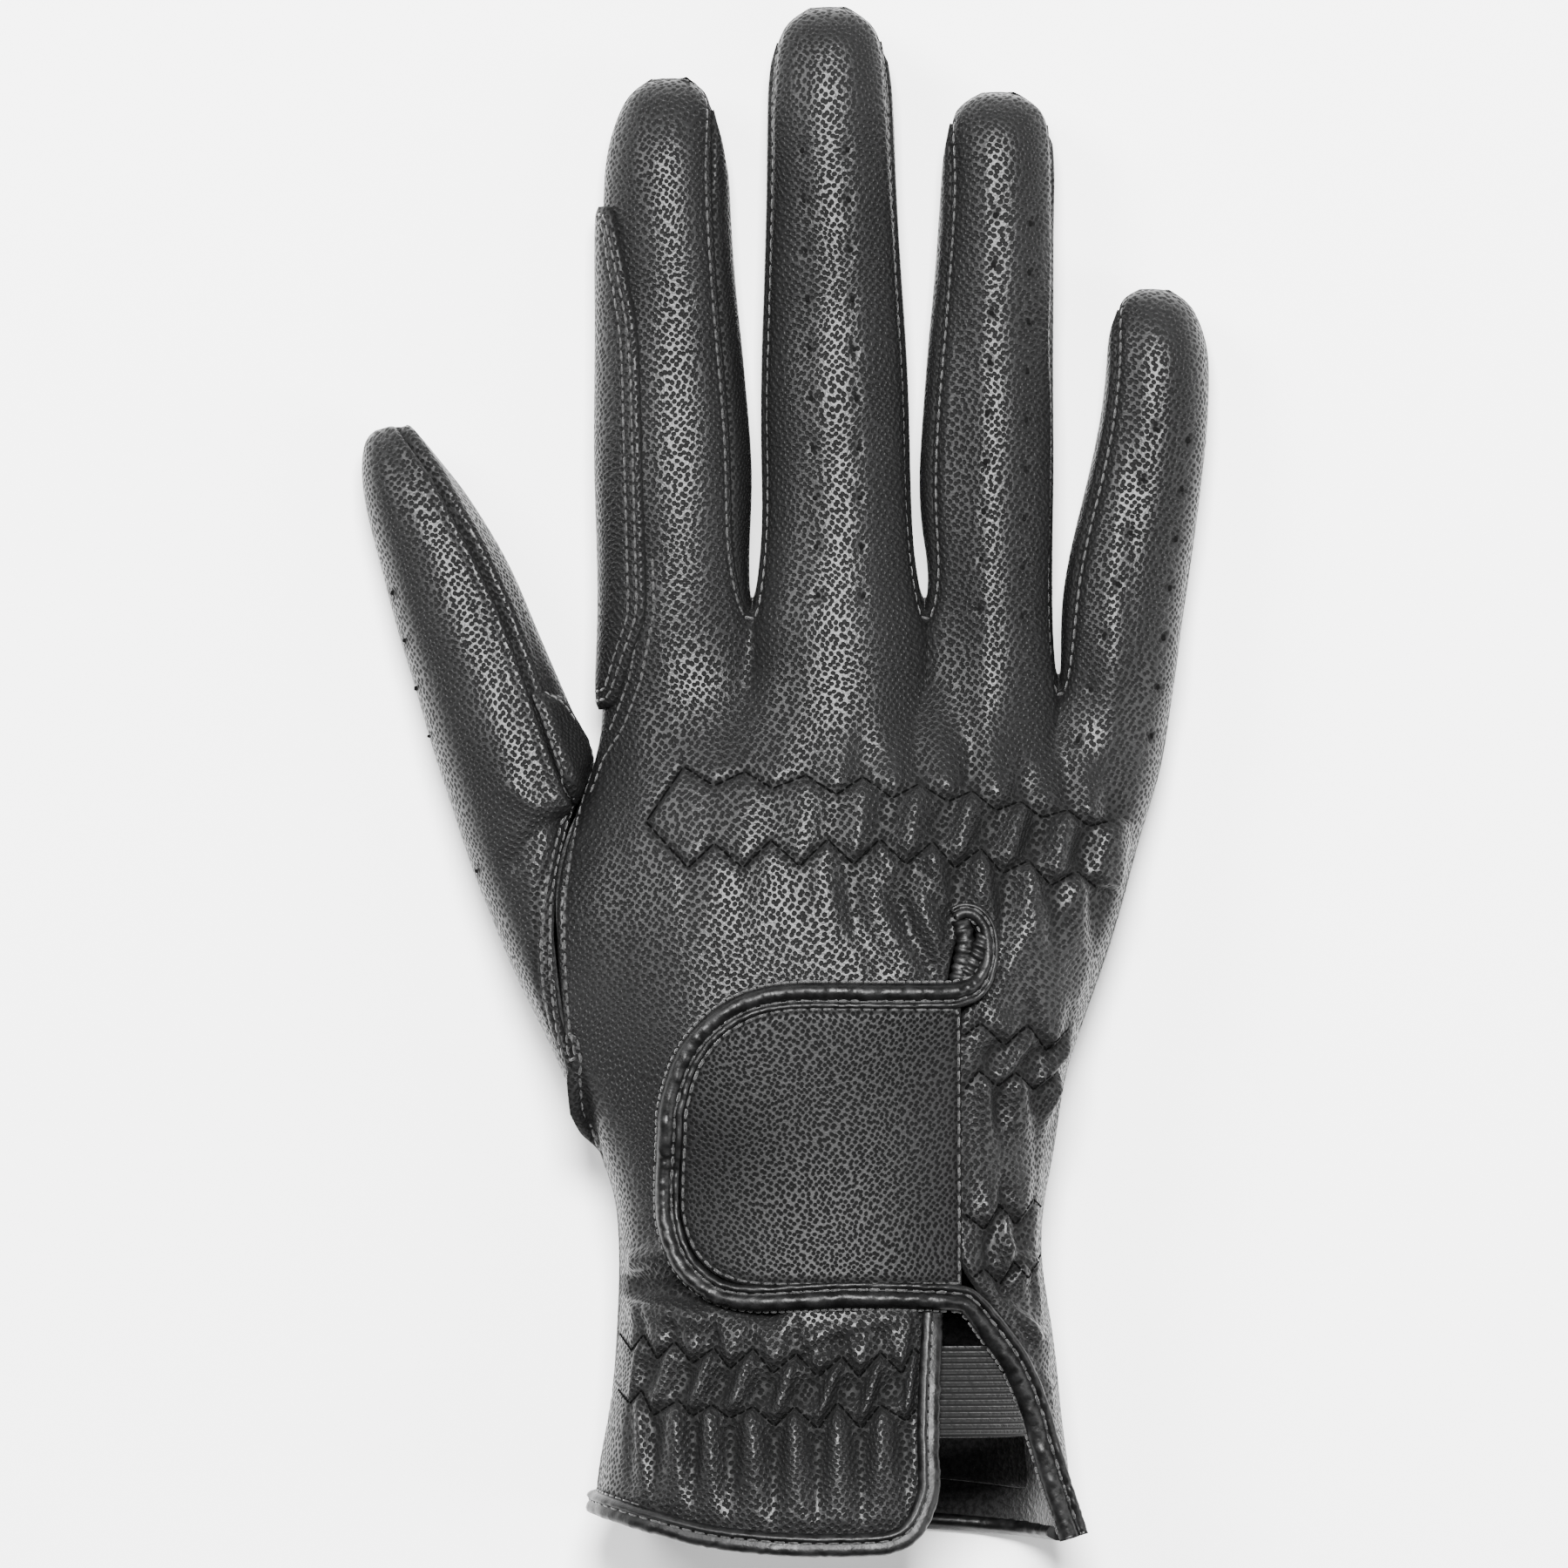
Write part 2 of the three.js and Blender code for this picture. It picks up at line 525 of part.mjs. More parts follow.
// A point of a finger's own section, at an angle in degrees
function sectionPoint(finger, along, degrees) {
  const angle = THREE.MathUtils.degToRad(degrees);
  const tipLength = finger.tip * finger.width;
  const inTip = clamp((along * finger.length - (finger.length - tipLength)) / tipLength, 0, 1);
  const narrow = Math.sqrt(1 - (TIP_CUT * inTip) ** 2);
  const flat = Math.sqrt(1 - inTip ** 2);
  const halfWidth = (finger.width / 2) * follow(FINGER_SHAPE, 'along', 'width', along) * narrow;
  const halfHeight = (FINGER_HEIGHT / 2) * follow(FINGER_SHAPE, 'along', 'height', along);
  const bow = finger.bow * 4 * along * (1 - along);
  const sideways = finger.width * (bow + finger.sway * Math.sin(2 * Math.PI * along));
  const square = ease(0, FINGER_SQUARE, along);
  const direction = finger.chord.clone().lerp(finger.across, square).normalize();
  const place = finger.base.clone()
    .addScaledVector(finger.axis, along * finger.length)
    .addScaledVector(finger.across, sideways)
    .addScaledVector(direction, halfWidth * roundedCos(angle));
  const height = halfHeight - FINGER_SINK + halfHeight * flat * roundedSin(angle);
  return new THREE.Vector3(place.x, place.y, Math.max(height, 0));
}

function seamsOf(finger, side) {
  return side === 'back' ? [finger.left, finger.right] : [finger.palmLeft, finger.palmRight];
}

// A point of the hand's end, where a finger begins: share goes from the finger's left seam to
// its right one, and side is back or palm
function baseHeights(finger, side, share) {
  const [from, to] = seamsOf(finger, side);
  const natural = (degrees) => sectionPoint(finger, 0, degrees).z;
  const spare = (knuckle, degrees) => HAND_HEIGHT * knuckle[side] - natural(degrees);
  return natural(mix(from, to, share)) + mix(spare(finger.low, from), spare(finger.high, to), share);
}

function baseShare(finger, side, share) {
  const [from, to] = seamsOf(finger, side);
  const cosAt = (degrees) => roundedCos(THREE.MathUtils.degToRad(degrees));
  return (cosAt(mix(from, to, share)) - cosAt(from)) / (cosAt(to) - cosAt(from));
}

function basePoint(finger, side, share) {
  const x = mix(finger.start.x, finger.end.x, baseShare(finger, side, share));
  const reach = side === 'palm' ? HAND_LENGTH * mix(finger.low.reach, finger.high.reach, share) : 0;
  return new THREE.Vector3(x, knuckleLine(x) + reach, Math.max(baseHeights(finger, side, share), 0));
}

// The seams' angles close in on the finger's two sides towards its tip
function seamAngles(finger, along) {
  const close = ease(SEAMS_CLOSE, 1, along);
  const right = finger.right * (1 - close);
  const left = 180 - (180 - finger.left) * (1 - close);
  const meet = ease(PALM_SEAMS_CLOSE, WALL_END, along);
  const palmLeft = mix(finger.palmLeft, left, meet);
  const palmRight = mix(finger.palmRight, right + 360, meet);
  return { left, right, palmLeft, palmRight };
}

// A point of the grown finger: near the hand it still follows the hand's end
function fingerPoint(finger, along, degrees, base) {
  const own = sectionPoint(finger, along, degrees);
  const grown = 1 - (1 - clamp(along / FINGER_GROWN, 0, 1)) ** FINGER_GROWTH;
  const axis = new THREE.Vector3(finger.axis.x, finger.axis.y, 0);
  return base.clone().addScaledVector(axis, along * finger.length).lerp(own, grown);
}

// The rows of the hand, as shares of the way from the hem to the knuckle line, set so that
// the thumb's root and web lie on rows
const hemLeft = follow(HEM_LINE, 'across', 'back', 0);
const rowShare = (along) => (along - hemLeft) / (KNUCKLES[0].along - hemLeft);
const rootShare = rowShare(ROOT_ALONG);
const webShare = rowShare(WEB_ALONG);
const evenly = (from, to, spaces) => [...Array(spaces).keys()].map((k) => mix(from, to, (k + 1) / spaces));
const handRows = [
  0,
  ...CUFF_ROWS,
  rootShare,
  ...evenly(rootShare, webShare, HOLE_ROWS),
  ...evenly(webShare, 1, KNUCKLE_ROWS),
];
const rootRow = CUFF_ROWS.length + 1;
const webRow = rootRow + HOLE_ROWS;

// The point of the hand's end in a column, with the column's place as a share of them all
function endPoint(side, share) {
  const k = Math.min(Math.floor(share * fingers.length), fingers.length - 1);
  return basePoint(fingers[k], side, share * fingers.length - k);
}

// How far across the hand a column lies: evenly spread at the cuff but closer at the sides,
// and in step with the fingers at the knuckles
function columnShare(side, share, row) {
  const cuff = mix(share, (1 - Math.cos(Math.PI * share)) / 2, SIDES_CLOSER);
  const x = endPoint(side, share).x;
  const end = (x - knuckleAt(0).x) / (knuckleAt(fingers.length).x - knuckleAt(0).x);
  return mix(cuff, end, ease(COLUMNS_TURN, 1, row));
}

const backColumns = FINGER_COLUMNS * fingers.length;
const slitColumn = Math.round(SLIT_COLUMN * backColumns);
const slitX = (side, y) => HAND_WIDTH * follow(SLIT, 'along', side, y / HAND_LENGTH);

function hemHeight(side, across) {
  return HAND_LENGTH * follow(HEM_LINE, 'across', side, across);
}

// A point of the back of the hand. The slit's column has a left and a right copy.
function backPoint(column, row, lip) {
  const share = column / backColumns;
  const across = columnShare('back', share, row);
  const slitAcross = columnShare('back', slitColumn / backColumns, row);
  const end = endPoint('back', share);
  const cuffAcross = columnShare('back', share, 0);
  const cuffWidth = 2 * HAND_WIDTH * HAND_OUTLINE[0].left;
  const toLip = (columnShare('back', slitColumn / backColumns, 0) - cuffAcross) * cuffWidth;
  const round = clamp(HEM_CORNER - toLip, 0, HEM_CORNER);
  const corner = lip === 'left' ? HEM_CORNER - Math.sqrt(HEM_CORNER ** 2 - round ** 2) : 0;
  const hem = hemHeight('back', cuffAcross) + corner;
  const y = mix(hem, end.y, row);
  const natural = mix(leftEdge(y), rightEdge(y), slitAcross);
  const above = 1 - ease(SLIT_TOP, SLIT_TOP + SLIT_FADE, y / HAND_LENGTH);
  const slit = mix(natural, slitX(lip, y), above);
  const x = lip === 'left'
    ? mix(leftEdge(y), slit, across / slitAcross)
    : mix(slit, rightEdge(y), (across - slitAcross) / (1 - slitAcross));
  const point = new THREE.Vector3(mix(x, end.x, ease(ENDS_TURN, 1, row)), y, 0);
  point.z = mix(backHeight(point.x, y), end.z, ease(HEIGHTS_TURN, 1, row));
  return point;
}

function palmPoint(column, row) {
  const share = column / (PALM_COLUMNS * fingers.length);
  const across = columnShare('palm', share, row);
  const end = endPoint('palm', share);
  const y = mix(hemHeight('palm', columnShare('palm', share, 0)), end.y, row);
  const x = mix(mix(leftEdge(y) + holeCut(y), rightEdge(y), across), end.x, ease(ENDS_TURN, 1, row));
  return new THREE.Vector3(x, y, mix(palmHeight(x, y), end.z, ease(HEIGHTS_TURN, 1, row)));
}

const skin = new Skin();

// The back of the hand: rows of points left and right of the slit
const slitEnd = (SLIT_TOP - SLIT_SNAP) * HAND_LENGTH;
const counted = (spaces, make) => [...Array(spaces + 1).keys()].map(make);
const backLeftRows = handRows.map((row) => counted(slitColumn, (c) => backPoint(c, row, 'left')));
const backRightRows = handRows.map((row, r) => {
  const points = counted(backColumns - slitColumn, (c) => backPoint(slitColumn + c, row, 'right'));
  const lip = backLeftRows[r][slitColumn];
  return lip.y > slitEnd ? [lip, ...points.slice(1)] : points;
});
const palmRows = handRows.map((row) => counted(PALM_COLUMNS * fingers.length, (c) => palmPoint(c, row)));

const idRows = (rows) => rows.map((row) => row.map((point) => skin.add(point)));
const backLeft = idRows(backLeftRows);
const backRight = idRows(backRightRows);
const palm = idRows(palmRows);

// The fingers: back and palm columns, and the walls between neighbours
const backPanel = [...gridFaces(backLeft), ...gridFaces(backRight)];
const palmPanel = gridFaces(palm, true);
const walls = [[], [], []];
const indexRows = [];

for (const [k, finger] of fingers.entries()) {
  const axis = new THREE.Vector3(finger.axis.x, finger.axis.y, 0);
  const [back, under, leftWall, rightWall] = [[], [], [], []];
  const [backLow, backHigh] = [basePoint(finger, 'back', 0), basePoint(finger, 'back', 1)];
  const [palmLow, palmHigh] = [basePoint(finger, 'palm', 0), basePoint(finger, 'palm', 1)];
  for (const along of [0, ...FINGER_ROWS]) {
    const seams = seamAngles(finger, along);
    const place = (degrees, base) => {
      const point = along === 0 ? base : fingerPoint(finger, along, degrees, base);
      return along === 1 ? skin.addTip(point, axis) : skin.add(point);
    };
    const placed = (columns, from, to, baseAt) => counted(columns, (c) => {
      const share = c / columns;
      return place(mix(from, to, share), baseAt(share));
    });
    const { left, right, palmLeft, palmRight } = seams;
    back.push(placed(FINGER_COLUMNS, left, right, (share) => basePoint(finger, 'back', share)));
    under.push(placed(PALM_COLUMNS, palmLeft, palmRight, (share) => basePoint(finger, 'palm', share)));
    if (along > WALL_END) continue;
    leftWall.push(placed(WALL_COLUMNS, left, palmLeft, (share) => backLow.clone().lerp(palmLow, share)));
    const highBase = (share) => backHigh.clone().lerp(palmHigh, share);
    rightWall.push(placed(WALL_COLUMNS, right + 360, palmRight, highBase));
  }
  if (k === 0) indexRows.push(...back.map((row, r) => ({ back: row, under: under[r] })));
  backPanel.push(...gridFaces(back));
  palmPanel.push(...gridFaces(under, true));
  if (k > 0) walls[k - 1].push(...gridFaces(leftWall, true));
  if (k < walls.length) walls[k].push(...gridFaces(rightWall));
}

// The thumb: rings that start on the edge of the hand's hole and run to the tip. A ring goes
// from the web over the back to the root and returns on the palm side.
const holeBack = backLeft.slice(rootRow, webRow + 1).map((row) => skin.points[row[0]]).reverse();
const holePalm = palm.slice(rootRow + 1, webRow).map((row) => skin.points[row[0]]);
const holeRing = [...holeBack, ...holePalm];
const webPoint = holeBack[0];
const rootPoint = holeBack[HOLE_ROWS];
const thumbLean = THREE.MathUtils.degToRad(THUMB_LEAN);
const thumbAxis = new THREE.Vector3(-Math.sin(thumbLean), Math.cos(thumbLean), 0);
const thumbAcross = new THREE.Vector3(Math.cos(thumbLean), Math.sin(thumbLean), 0);
const ringAngles = holeRing.map((point, k) => {
  const share = clamp((webPoint.y - point.y) / (webPoint.y - rootPoint.y), 0, 1);
  const angle = Math.acos(1 - 2 * share);
  return k > HOLE_ROWS ? -angle : angle;
});

function thumbPlace([along, across]) {
  return webPoint.clone().setZ(0)
    .addScaledVector(thumbAxis, along * THUMB_LENGTH)
    .addScaledVector(thumbAcross, across * THUMB_WIDTH);
}

function thumbPoint(section, angle) {
  const outer = thumbPlace(section.outer);
  const inner = thumbPlace(section.inner);
  const point = outer.lerp(inner, (1 + Math.cos(angle)) / 2);
  const height = THUMB_HEIGHT * (section.middle + section.half * roundedSin(angle));
  return point.setZ(Math.max(height, 0));
}

const thumbRings = [holeRing.map((point) => skin.add(point))];
for (const share of [...THUMB_JOINS, 0]) {
  const joined = (angle, k) => thumbPoint(THUMB_SECTIONS[0], angle).lerp(holeRing[k], share);
  thumbRings.push(ringAngles.map((angle, k) => skin.add(joined(angle, k))));
}
THUMB_SECTIONS.slice(1).forEach((section) => {
  const last = section.half === 0;
  thumbRings.push(ringAngles.map((angle) => {
    const point = thumbPoint(section, angle);
    return last ? skin.addTip(point, thumbAxis) : skin.add(point);
  }));
});
const thumbPanel = gridFaces(thumbRings.map((ring) => [...ring, ring[0]]), true);

// Relief, then the final normals
const skinPanels = [backPanel, palmPanel, thumbPanel, ...walls];
skin.settleNormals(skinPanels);
for (const id of new Set([...backLeft, ...backRight].flat())) {
  const point = skin.points[id];
  point.addScaledVector(skin.normals[id], relief(point.x, point.y));
}
skin.settleNormals(skinPanels);

// The faces of a patch whose far edge wanders: each row reaches its own number of columns
function taperedFaces(rows, reaches) {
  return rows.slice(0, -1).flatMap((row, r) => {
    const ahead = rows[r + 1];
    const both = Math.min(reaches[r], reaches[r + 1]);
    const faces = gridFaces([row.slice(0, both + 1), ahead.slice(0, both + 1)]);
    for (let c = both; c < reaches[r + 1]; c += 1) faces.push([row[both], ahead[c + 1], ahead[c]]);
    for (let c = both; c < reaches[r]; c += 1) faces.push([row[c], row[c + 1], ahead[both]]);
    return faces;
  });
}

// The web patch lies over the thumb beside its web, on both sides of the ring's first column
const PATCH_FIRST_RING = 4;
const PATCH_REACH_BACK = [1, 2, 3, 2, 1];
const PATCH_REACH_PALM = [1, 2, 2, 2, 1];
const patchRings = thumbRings.slice(PATCH_FIRST_RING, PATCH_FIRST_RING + PATCH_REACH_BACK.length);
const palmWard = patchRings.map((ring) => [ring[0], ...ring.slice(1).reverse()]);
const webPatch = [
  ...taperedFaces(patchRings, PATCH_REACH_BACK).map(turnOver),
  ...taperedFaces(palmWard, PATCH_REACH_PALM),
];

// The rein patch wraps the outer side of the index finger and the hand below it. Its rows
// start low on the palm side and reach over the side seam onto the back.
const REIN_REACH = [4, 5, 6, 6, 6, 6, 6, 6, 5, 4];
const reinRows = [
  ...backLeft.slice(webRow + 1, -1).map((row, r) => [palm[webRow + 1 + r][1], ...row]),
  ...indexRows.map(({ back, under }) => [under[1], ...back]),
].slice(0, REIN_REACH.length);
const reinPatch = taperedFaces(reinRows, REIN_REACH);

// The closing tab: a D lying on the back, with a rounded free end and a straight sewn end
const TAB_CORNERS = { top: 20.6, bottom: 15.1 };
const TAB_SPACING = 1.6; // draws the tab's columns towards its rounded end, as an exponent

function tabEdge(x, end, inset) {
  const radius = TAB_CORNERS[end] - inset;
  const past = clamp(radius - (x - tabLeft - inset), 0, radius);
  const drop = radius - Math.sqrt(radius ** 2 - past ** 2);
  return end === 'top' ? tabTop - inset - drop : TAB_BOTTOM + inset + drop;
}

const onBack = (x, y) => new THREE.Vector3(x, y, backHeight(x, y));

function backNormal(x, y) {
  const step = 0.5; // small beside the arch's curves
  const east = onBack(x + step, y).sub(onBack(x - step, y));
  const north = onBack(x, y + step).sub(onBack(x, y - step));
  return east.cross(north).normalize();
}

// A sheet laid on the back's arch: its rows and columns of points, as one panel
function backSheet(columns, rows, place, inner, outer) {
  const sheet = new Skin();
  const ids = counted(rows, (r) => counted(columns, (c) => {
    const [x, y] = place(c / columns, r / rows);
    return sheet.add(onBack(x, y));
  }));
  const panel = gridFaces(ids);
  sheet.settleNormals([panel]);
  return wall(sheet, panel, inner, outer, 0);
}

function tabPlace(across, up) {
  const inset = BINDING_WIDTH + SEAM_GAP;
  const x = mix(tabLeft + inset, TAB_RIGHT, across ** TAB_SPACING);
  return [x, mix(tabEdge(x, 'bottom', inset), tabEdge(x, 'top', inset), up)];
}

// The tab's binding starts thin at the keyhole, runs round the tab and ends at its sewn end
const KEYHOLE_ROUTE = [
  { across: 0.262, along: 0.666, share: 0.4 },
  { across: 0.261, along: 0.648, share: 0.5 },
  { across: 0.246, along: 0.626, share: 0.75 },
];
const TAB_SIDE_STEPS = 5;
const TAB_CORNER_STEPS = 6;

function tabRoute() {
  const inset = BINDING_WIDTH / 2;
  const route = KEYHOLE_ROUTE.map(({ across, along, share }) => (
    { x: across * HAND_WIDTH, y: along * HAND_LENGTH, share }));
  const straight = (end) => evenly(TAB_RIGHT + inset, tabLeft + TAB_CORNERS[end], TAB_SIDE_STEPS)
    .map((x) => ({ x, y: tabEdge(x, end, inset) }));
  const corner = (end) => evenly(0, Math.PI / 2, TAB_CORNER_STEPS).map((turn) => {
    const radius = TAB_CORNERS[end] - inset;
    const x = tabLeft + TAB_CORNERS[end] - radius * Math.sin(turn);
    const middle = end === 'top' ? tabTop - TAB_CORNERS.top : TAB_BOTTOM + TAB_CORNERS.bottom;
    return { x, y: middle + (end === 'top' ? 1 : -1) * radius * Math.cos(turn) };
  });
  route.push(...straight('top'), ...corner('top'), ...corner('bottom').reverse(), ...straight('bottom').reverse());
  return route.map(({ x, y, share = 1 }) => ({ point: onBack(x, y), normal: backNormal(x, y), share }));
}

// The cuff's binding: down the slit's left lip, round the hem of the back and of the palm,
// and up the right lip
const lipTop = LIP_BINDING_TOP * HAND_LENGTH;
const lipRows = handRows.map((row, r) => r).filter((r) => skin.points[backRight[r][0]].y < lipTop);
const cuffRoute = [
  ...lipRows.slice(1).reverse().map((r) => backLeft[r][slitColumn]),
  ...[...backLeft[0]].reverse(),
  ...palm[0].slice(1),
  ...lipRows.map((r) => backRight[r][0]),
].map((id) => ({ point: skin.points[id], normal: skin.normals[id] }));

// The elastic that closes the slit lies inside it, under both lips and clear of their binding
const ELASTIC_TOP = 0.233;
const ELASTIC_BOTTOM = 0.135;
const bindingDepth = (BINDING_THICKNESS + LEATHER) / 2;

function elasticPlace(across, up) {
  const y = HAND_LENGTH * mix(ELASTIC_BOTTOM, ELASTIC_TOP, up);
  return [mix(slitX('left', y) - ELASTIC_LAP, slitX('right', y) + ELASTIC_LAP, across), y];
}

// The lining shows through the slit: a band inside the palm, from the hem's facing upwards
const liningPanel = gridFaces(palm.slice(1, LINING_ROWS + 1).map((row) => row.slice(1, -1)), true);

// The pieces, each with its finish
const group = new THREE.Group();

function addPiece(name, geometry, finish) {
  const mesh = new THREE.Mesh(geometry, new THREE.MeshStandardMaterial(finish));
  mesh.name = name;
  group.add(mesh);
}

const patchTop = PATCH_LIFT + PATCH_LEATHER;
const elasticOuter = -(bindingDepth + SEAM_GAP);
const liningOuter = -(LEATHER + SEAM_GAP);
const bindingOut = BINDING_WIDTH / 2 + SEAM_GAP;
const tabLift = SEAM_GAP + BINDING_THICKNESS / 2;

addPiece('back_panel', wall(skin, backPanel, -LEATHER, 0), GRAIN_LEATHER);
addPiece('palm_panel', wall(skin, palmPanel, -LEATHER, 0), GRAIN_LEATHER);
const wallNames = ['fourchette_index_middle', 'fourchette_middle_ring', 'fourchette_ring_pinky'];
wallNames.forEach((name, k) => addPiece(name, wall(skin, walls[k], -LEATHER, 0), GRAIN_LEATHER));
addPiece('thumb_panel', wall(skin, thumbPanel, -LEATHER, 0), GRAIN_LEATHER);
addPiece('thumb_web_patch', wall(skin, webPatch, PATCH_LIFT, patchTop), GRAIN_LEATHER);
addPiece('rein_patch', wall(skin, reinPatch, PATCH_LIFT, patchTop), GRAIN_LEATHER);
const tabBody = backSheet(TAB_COLUMNS, TAB_ROWS, tabPlace, SEAM_GAP, SEAM_GAP + TAB_THICKNESS);
addPiece('wrist_tab', tabBody, GRAIN_LEATHER);
const tabRim = bar(tabRoute(), BINDING_WIDTH, BINDING_THICKNESS, 0, tabLift);
addPiece('tab_binding', tabRim, SMOOTH_LEATHER);
const cuffRim = bar(cuffRoute, BINDING_WIDTH, BINDING_THICKNESS, bindingOut, -LEATHER / 2);
addPiece('cuff_binding', cuffRim, SMOOTH_LEATHER);
const elasticInner = elasticOuter - ELASTIC_THICKNESS;
const elasticBody = backSheet(ELASTIC_COLUMNS, ELASTIC_ROWS, elasticPlace, elasticInner, elasticOuter);
addPiece('slit_elastic', elasticBody, ELASTIC_CLOTH);
const liningBody = wall(skin, liningPanel, liningOuter - LINING_THICKNESS, liningOuter, 0);
addPiece('cuff_lining', liningBody, LINING_CLOTH);

// The origin is the middle of the box's bottom
const box = new THREE.Box3().setFromObject(group);
group.position.set(-(box.min.x + box.max.x) / 2, -(box.min.y + box.max.y) / 2, -box.min.z);

export default group;
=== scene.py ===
import math

import bmesh
import bpy
import numpy as np
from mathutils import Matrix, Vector
from mathutils.bvhtree import BVHTree
from mathutils.kdtree import KDTree


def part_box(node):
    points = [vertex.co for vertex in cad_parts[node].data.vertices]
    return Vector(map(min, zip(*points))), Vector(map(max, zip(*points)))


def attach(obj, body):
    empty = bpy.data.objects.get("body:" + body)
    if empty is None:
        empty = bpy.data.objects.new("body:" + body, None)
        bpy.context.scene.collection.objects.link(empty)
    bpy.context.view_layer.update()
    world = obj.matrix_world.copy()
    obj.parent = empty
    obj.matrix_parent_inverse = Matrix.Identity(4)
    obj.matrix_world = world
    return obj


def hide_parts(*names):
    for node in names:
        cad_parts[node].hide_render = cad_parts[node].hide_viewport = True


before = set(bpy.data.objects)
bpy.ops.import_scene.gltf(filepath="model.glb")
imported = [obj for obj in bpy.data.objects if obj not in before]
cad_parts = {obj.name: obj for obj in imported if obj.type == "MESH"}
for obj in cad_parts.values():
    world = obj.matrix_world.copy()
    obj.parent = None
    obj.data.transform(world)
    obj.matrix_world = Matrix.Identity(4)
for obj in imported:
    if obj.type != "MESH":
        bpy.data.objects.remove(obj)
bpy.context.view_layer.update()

# Lengths in this script are millimetres unless a name says otherwise; the scene is in metres.
metre = 0.001
photo = {"pixel": 0.1375, "size": 1800, "anchor": (960, 1790), "place": (8.31, -122.74)}
pixel = photo["pixel"]
rng = np.random.default_rng(7)


# Where something seen in the photograph lies on the glove; places are given in its pixels
def acrossAt(px):
    return photo["place"][0] + (px - photo["anchor"][0]) * pixel


def upAt(py):
    return photo["place"][1] + (photo["anchor"][1] - py) * pixel


def spot(px, py):
    return (acrossAt(px), upAt(py))


def spots(pairs):
    return np.array([spot(px, py) for px, py in pairs])


def grey(value, blue=0.0):
    return (value, value, value + blue, 1)


def newMaterial(name):
    material = bpy.data.materials.new(name)
    material.use_nodes = True
    tree = material.node_tree
    tree.nodes.clear()
    output = tree.nodes.new("ShaderNodeOutputMaterial")
    shader = tree.nodes.new("ShaderNodeBsdfPrincipled")
    tree.links.new(shader.outputs["BSDF"], output.inputs["Surface"])
    return material, tree, shader


# Gives each input of a node its value, or the socket that feeds it
def fill(node, inputs):
    for key, value in inputs.items():
        if isinstance(value, bpy.types.NodeSocket):
            node.id_data.links.new(value, node.inputs[key])
        else:
            node.inputs[key].default_value = value


def addNode(tree, kind, inputs, **settings):
    node = tree.nodes.new(kind)
    for key, value in settings.items():
        setattr(node, key, value)
    fill(node, inputs)
    return node


def mapRange(tree, value, low, high, toLow=0.0, toHigh=1.0):
    return addNode(tree, "ShaderNodeMapRange", {0: value, 1: low, 2: high, 3: toLow, 4: toHigh},
                   interpolation_type="SMOOTHSTEP").outputs[0]


def maths(tree, operation, a, b=0.0):
    return addNode(tree, "ShaderNodeMath", {0: a, 1: b}, operation=operation).outputs[0]


def blendColor(tree, share, a, b):
    return addNode(tree, "ShaderNodeMix", {0: share, 6: a, 7: b}, data_type="RGBA").outputs[2]


def objectCoords(tree, kind="Object"):
    return tree.nodes.new("ShaderNodeTexCoord").outputs[kind]


def bumpOf(tree, height, distance):
    inputs = {"Height": height, "Distance": distance, "Strength": 1.0}
    return addNode(tree, "ShaderNodeBump", inputs).outputs[0]


# The pebbled grain: dark round pits in a lighter network, with a bump to match. The pits are
# laid on three planes, and each face takes the plane that it lies nearest to.
pebbles = {"warpScale": 95.0, "warp": 2.4, "turn": 0.6, "randomness": 0.5, "pits": (0.22, 0.46),
           "sides": 5.0, "broadScale": 45.0, "fineScale": 2600.0, "fineShare": 0.35}


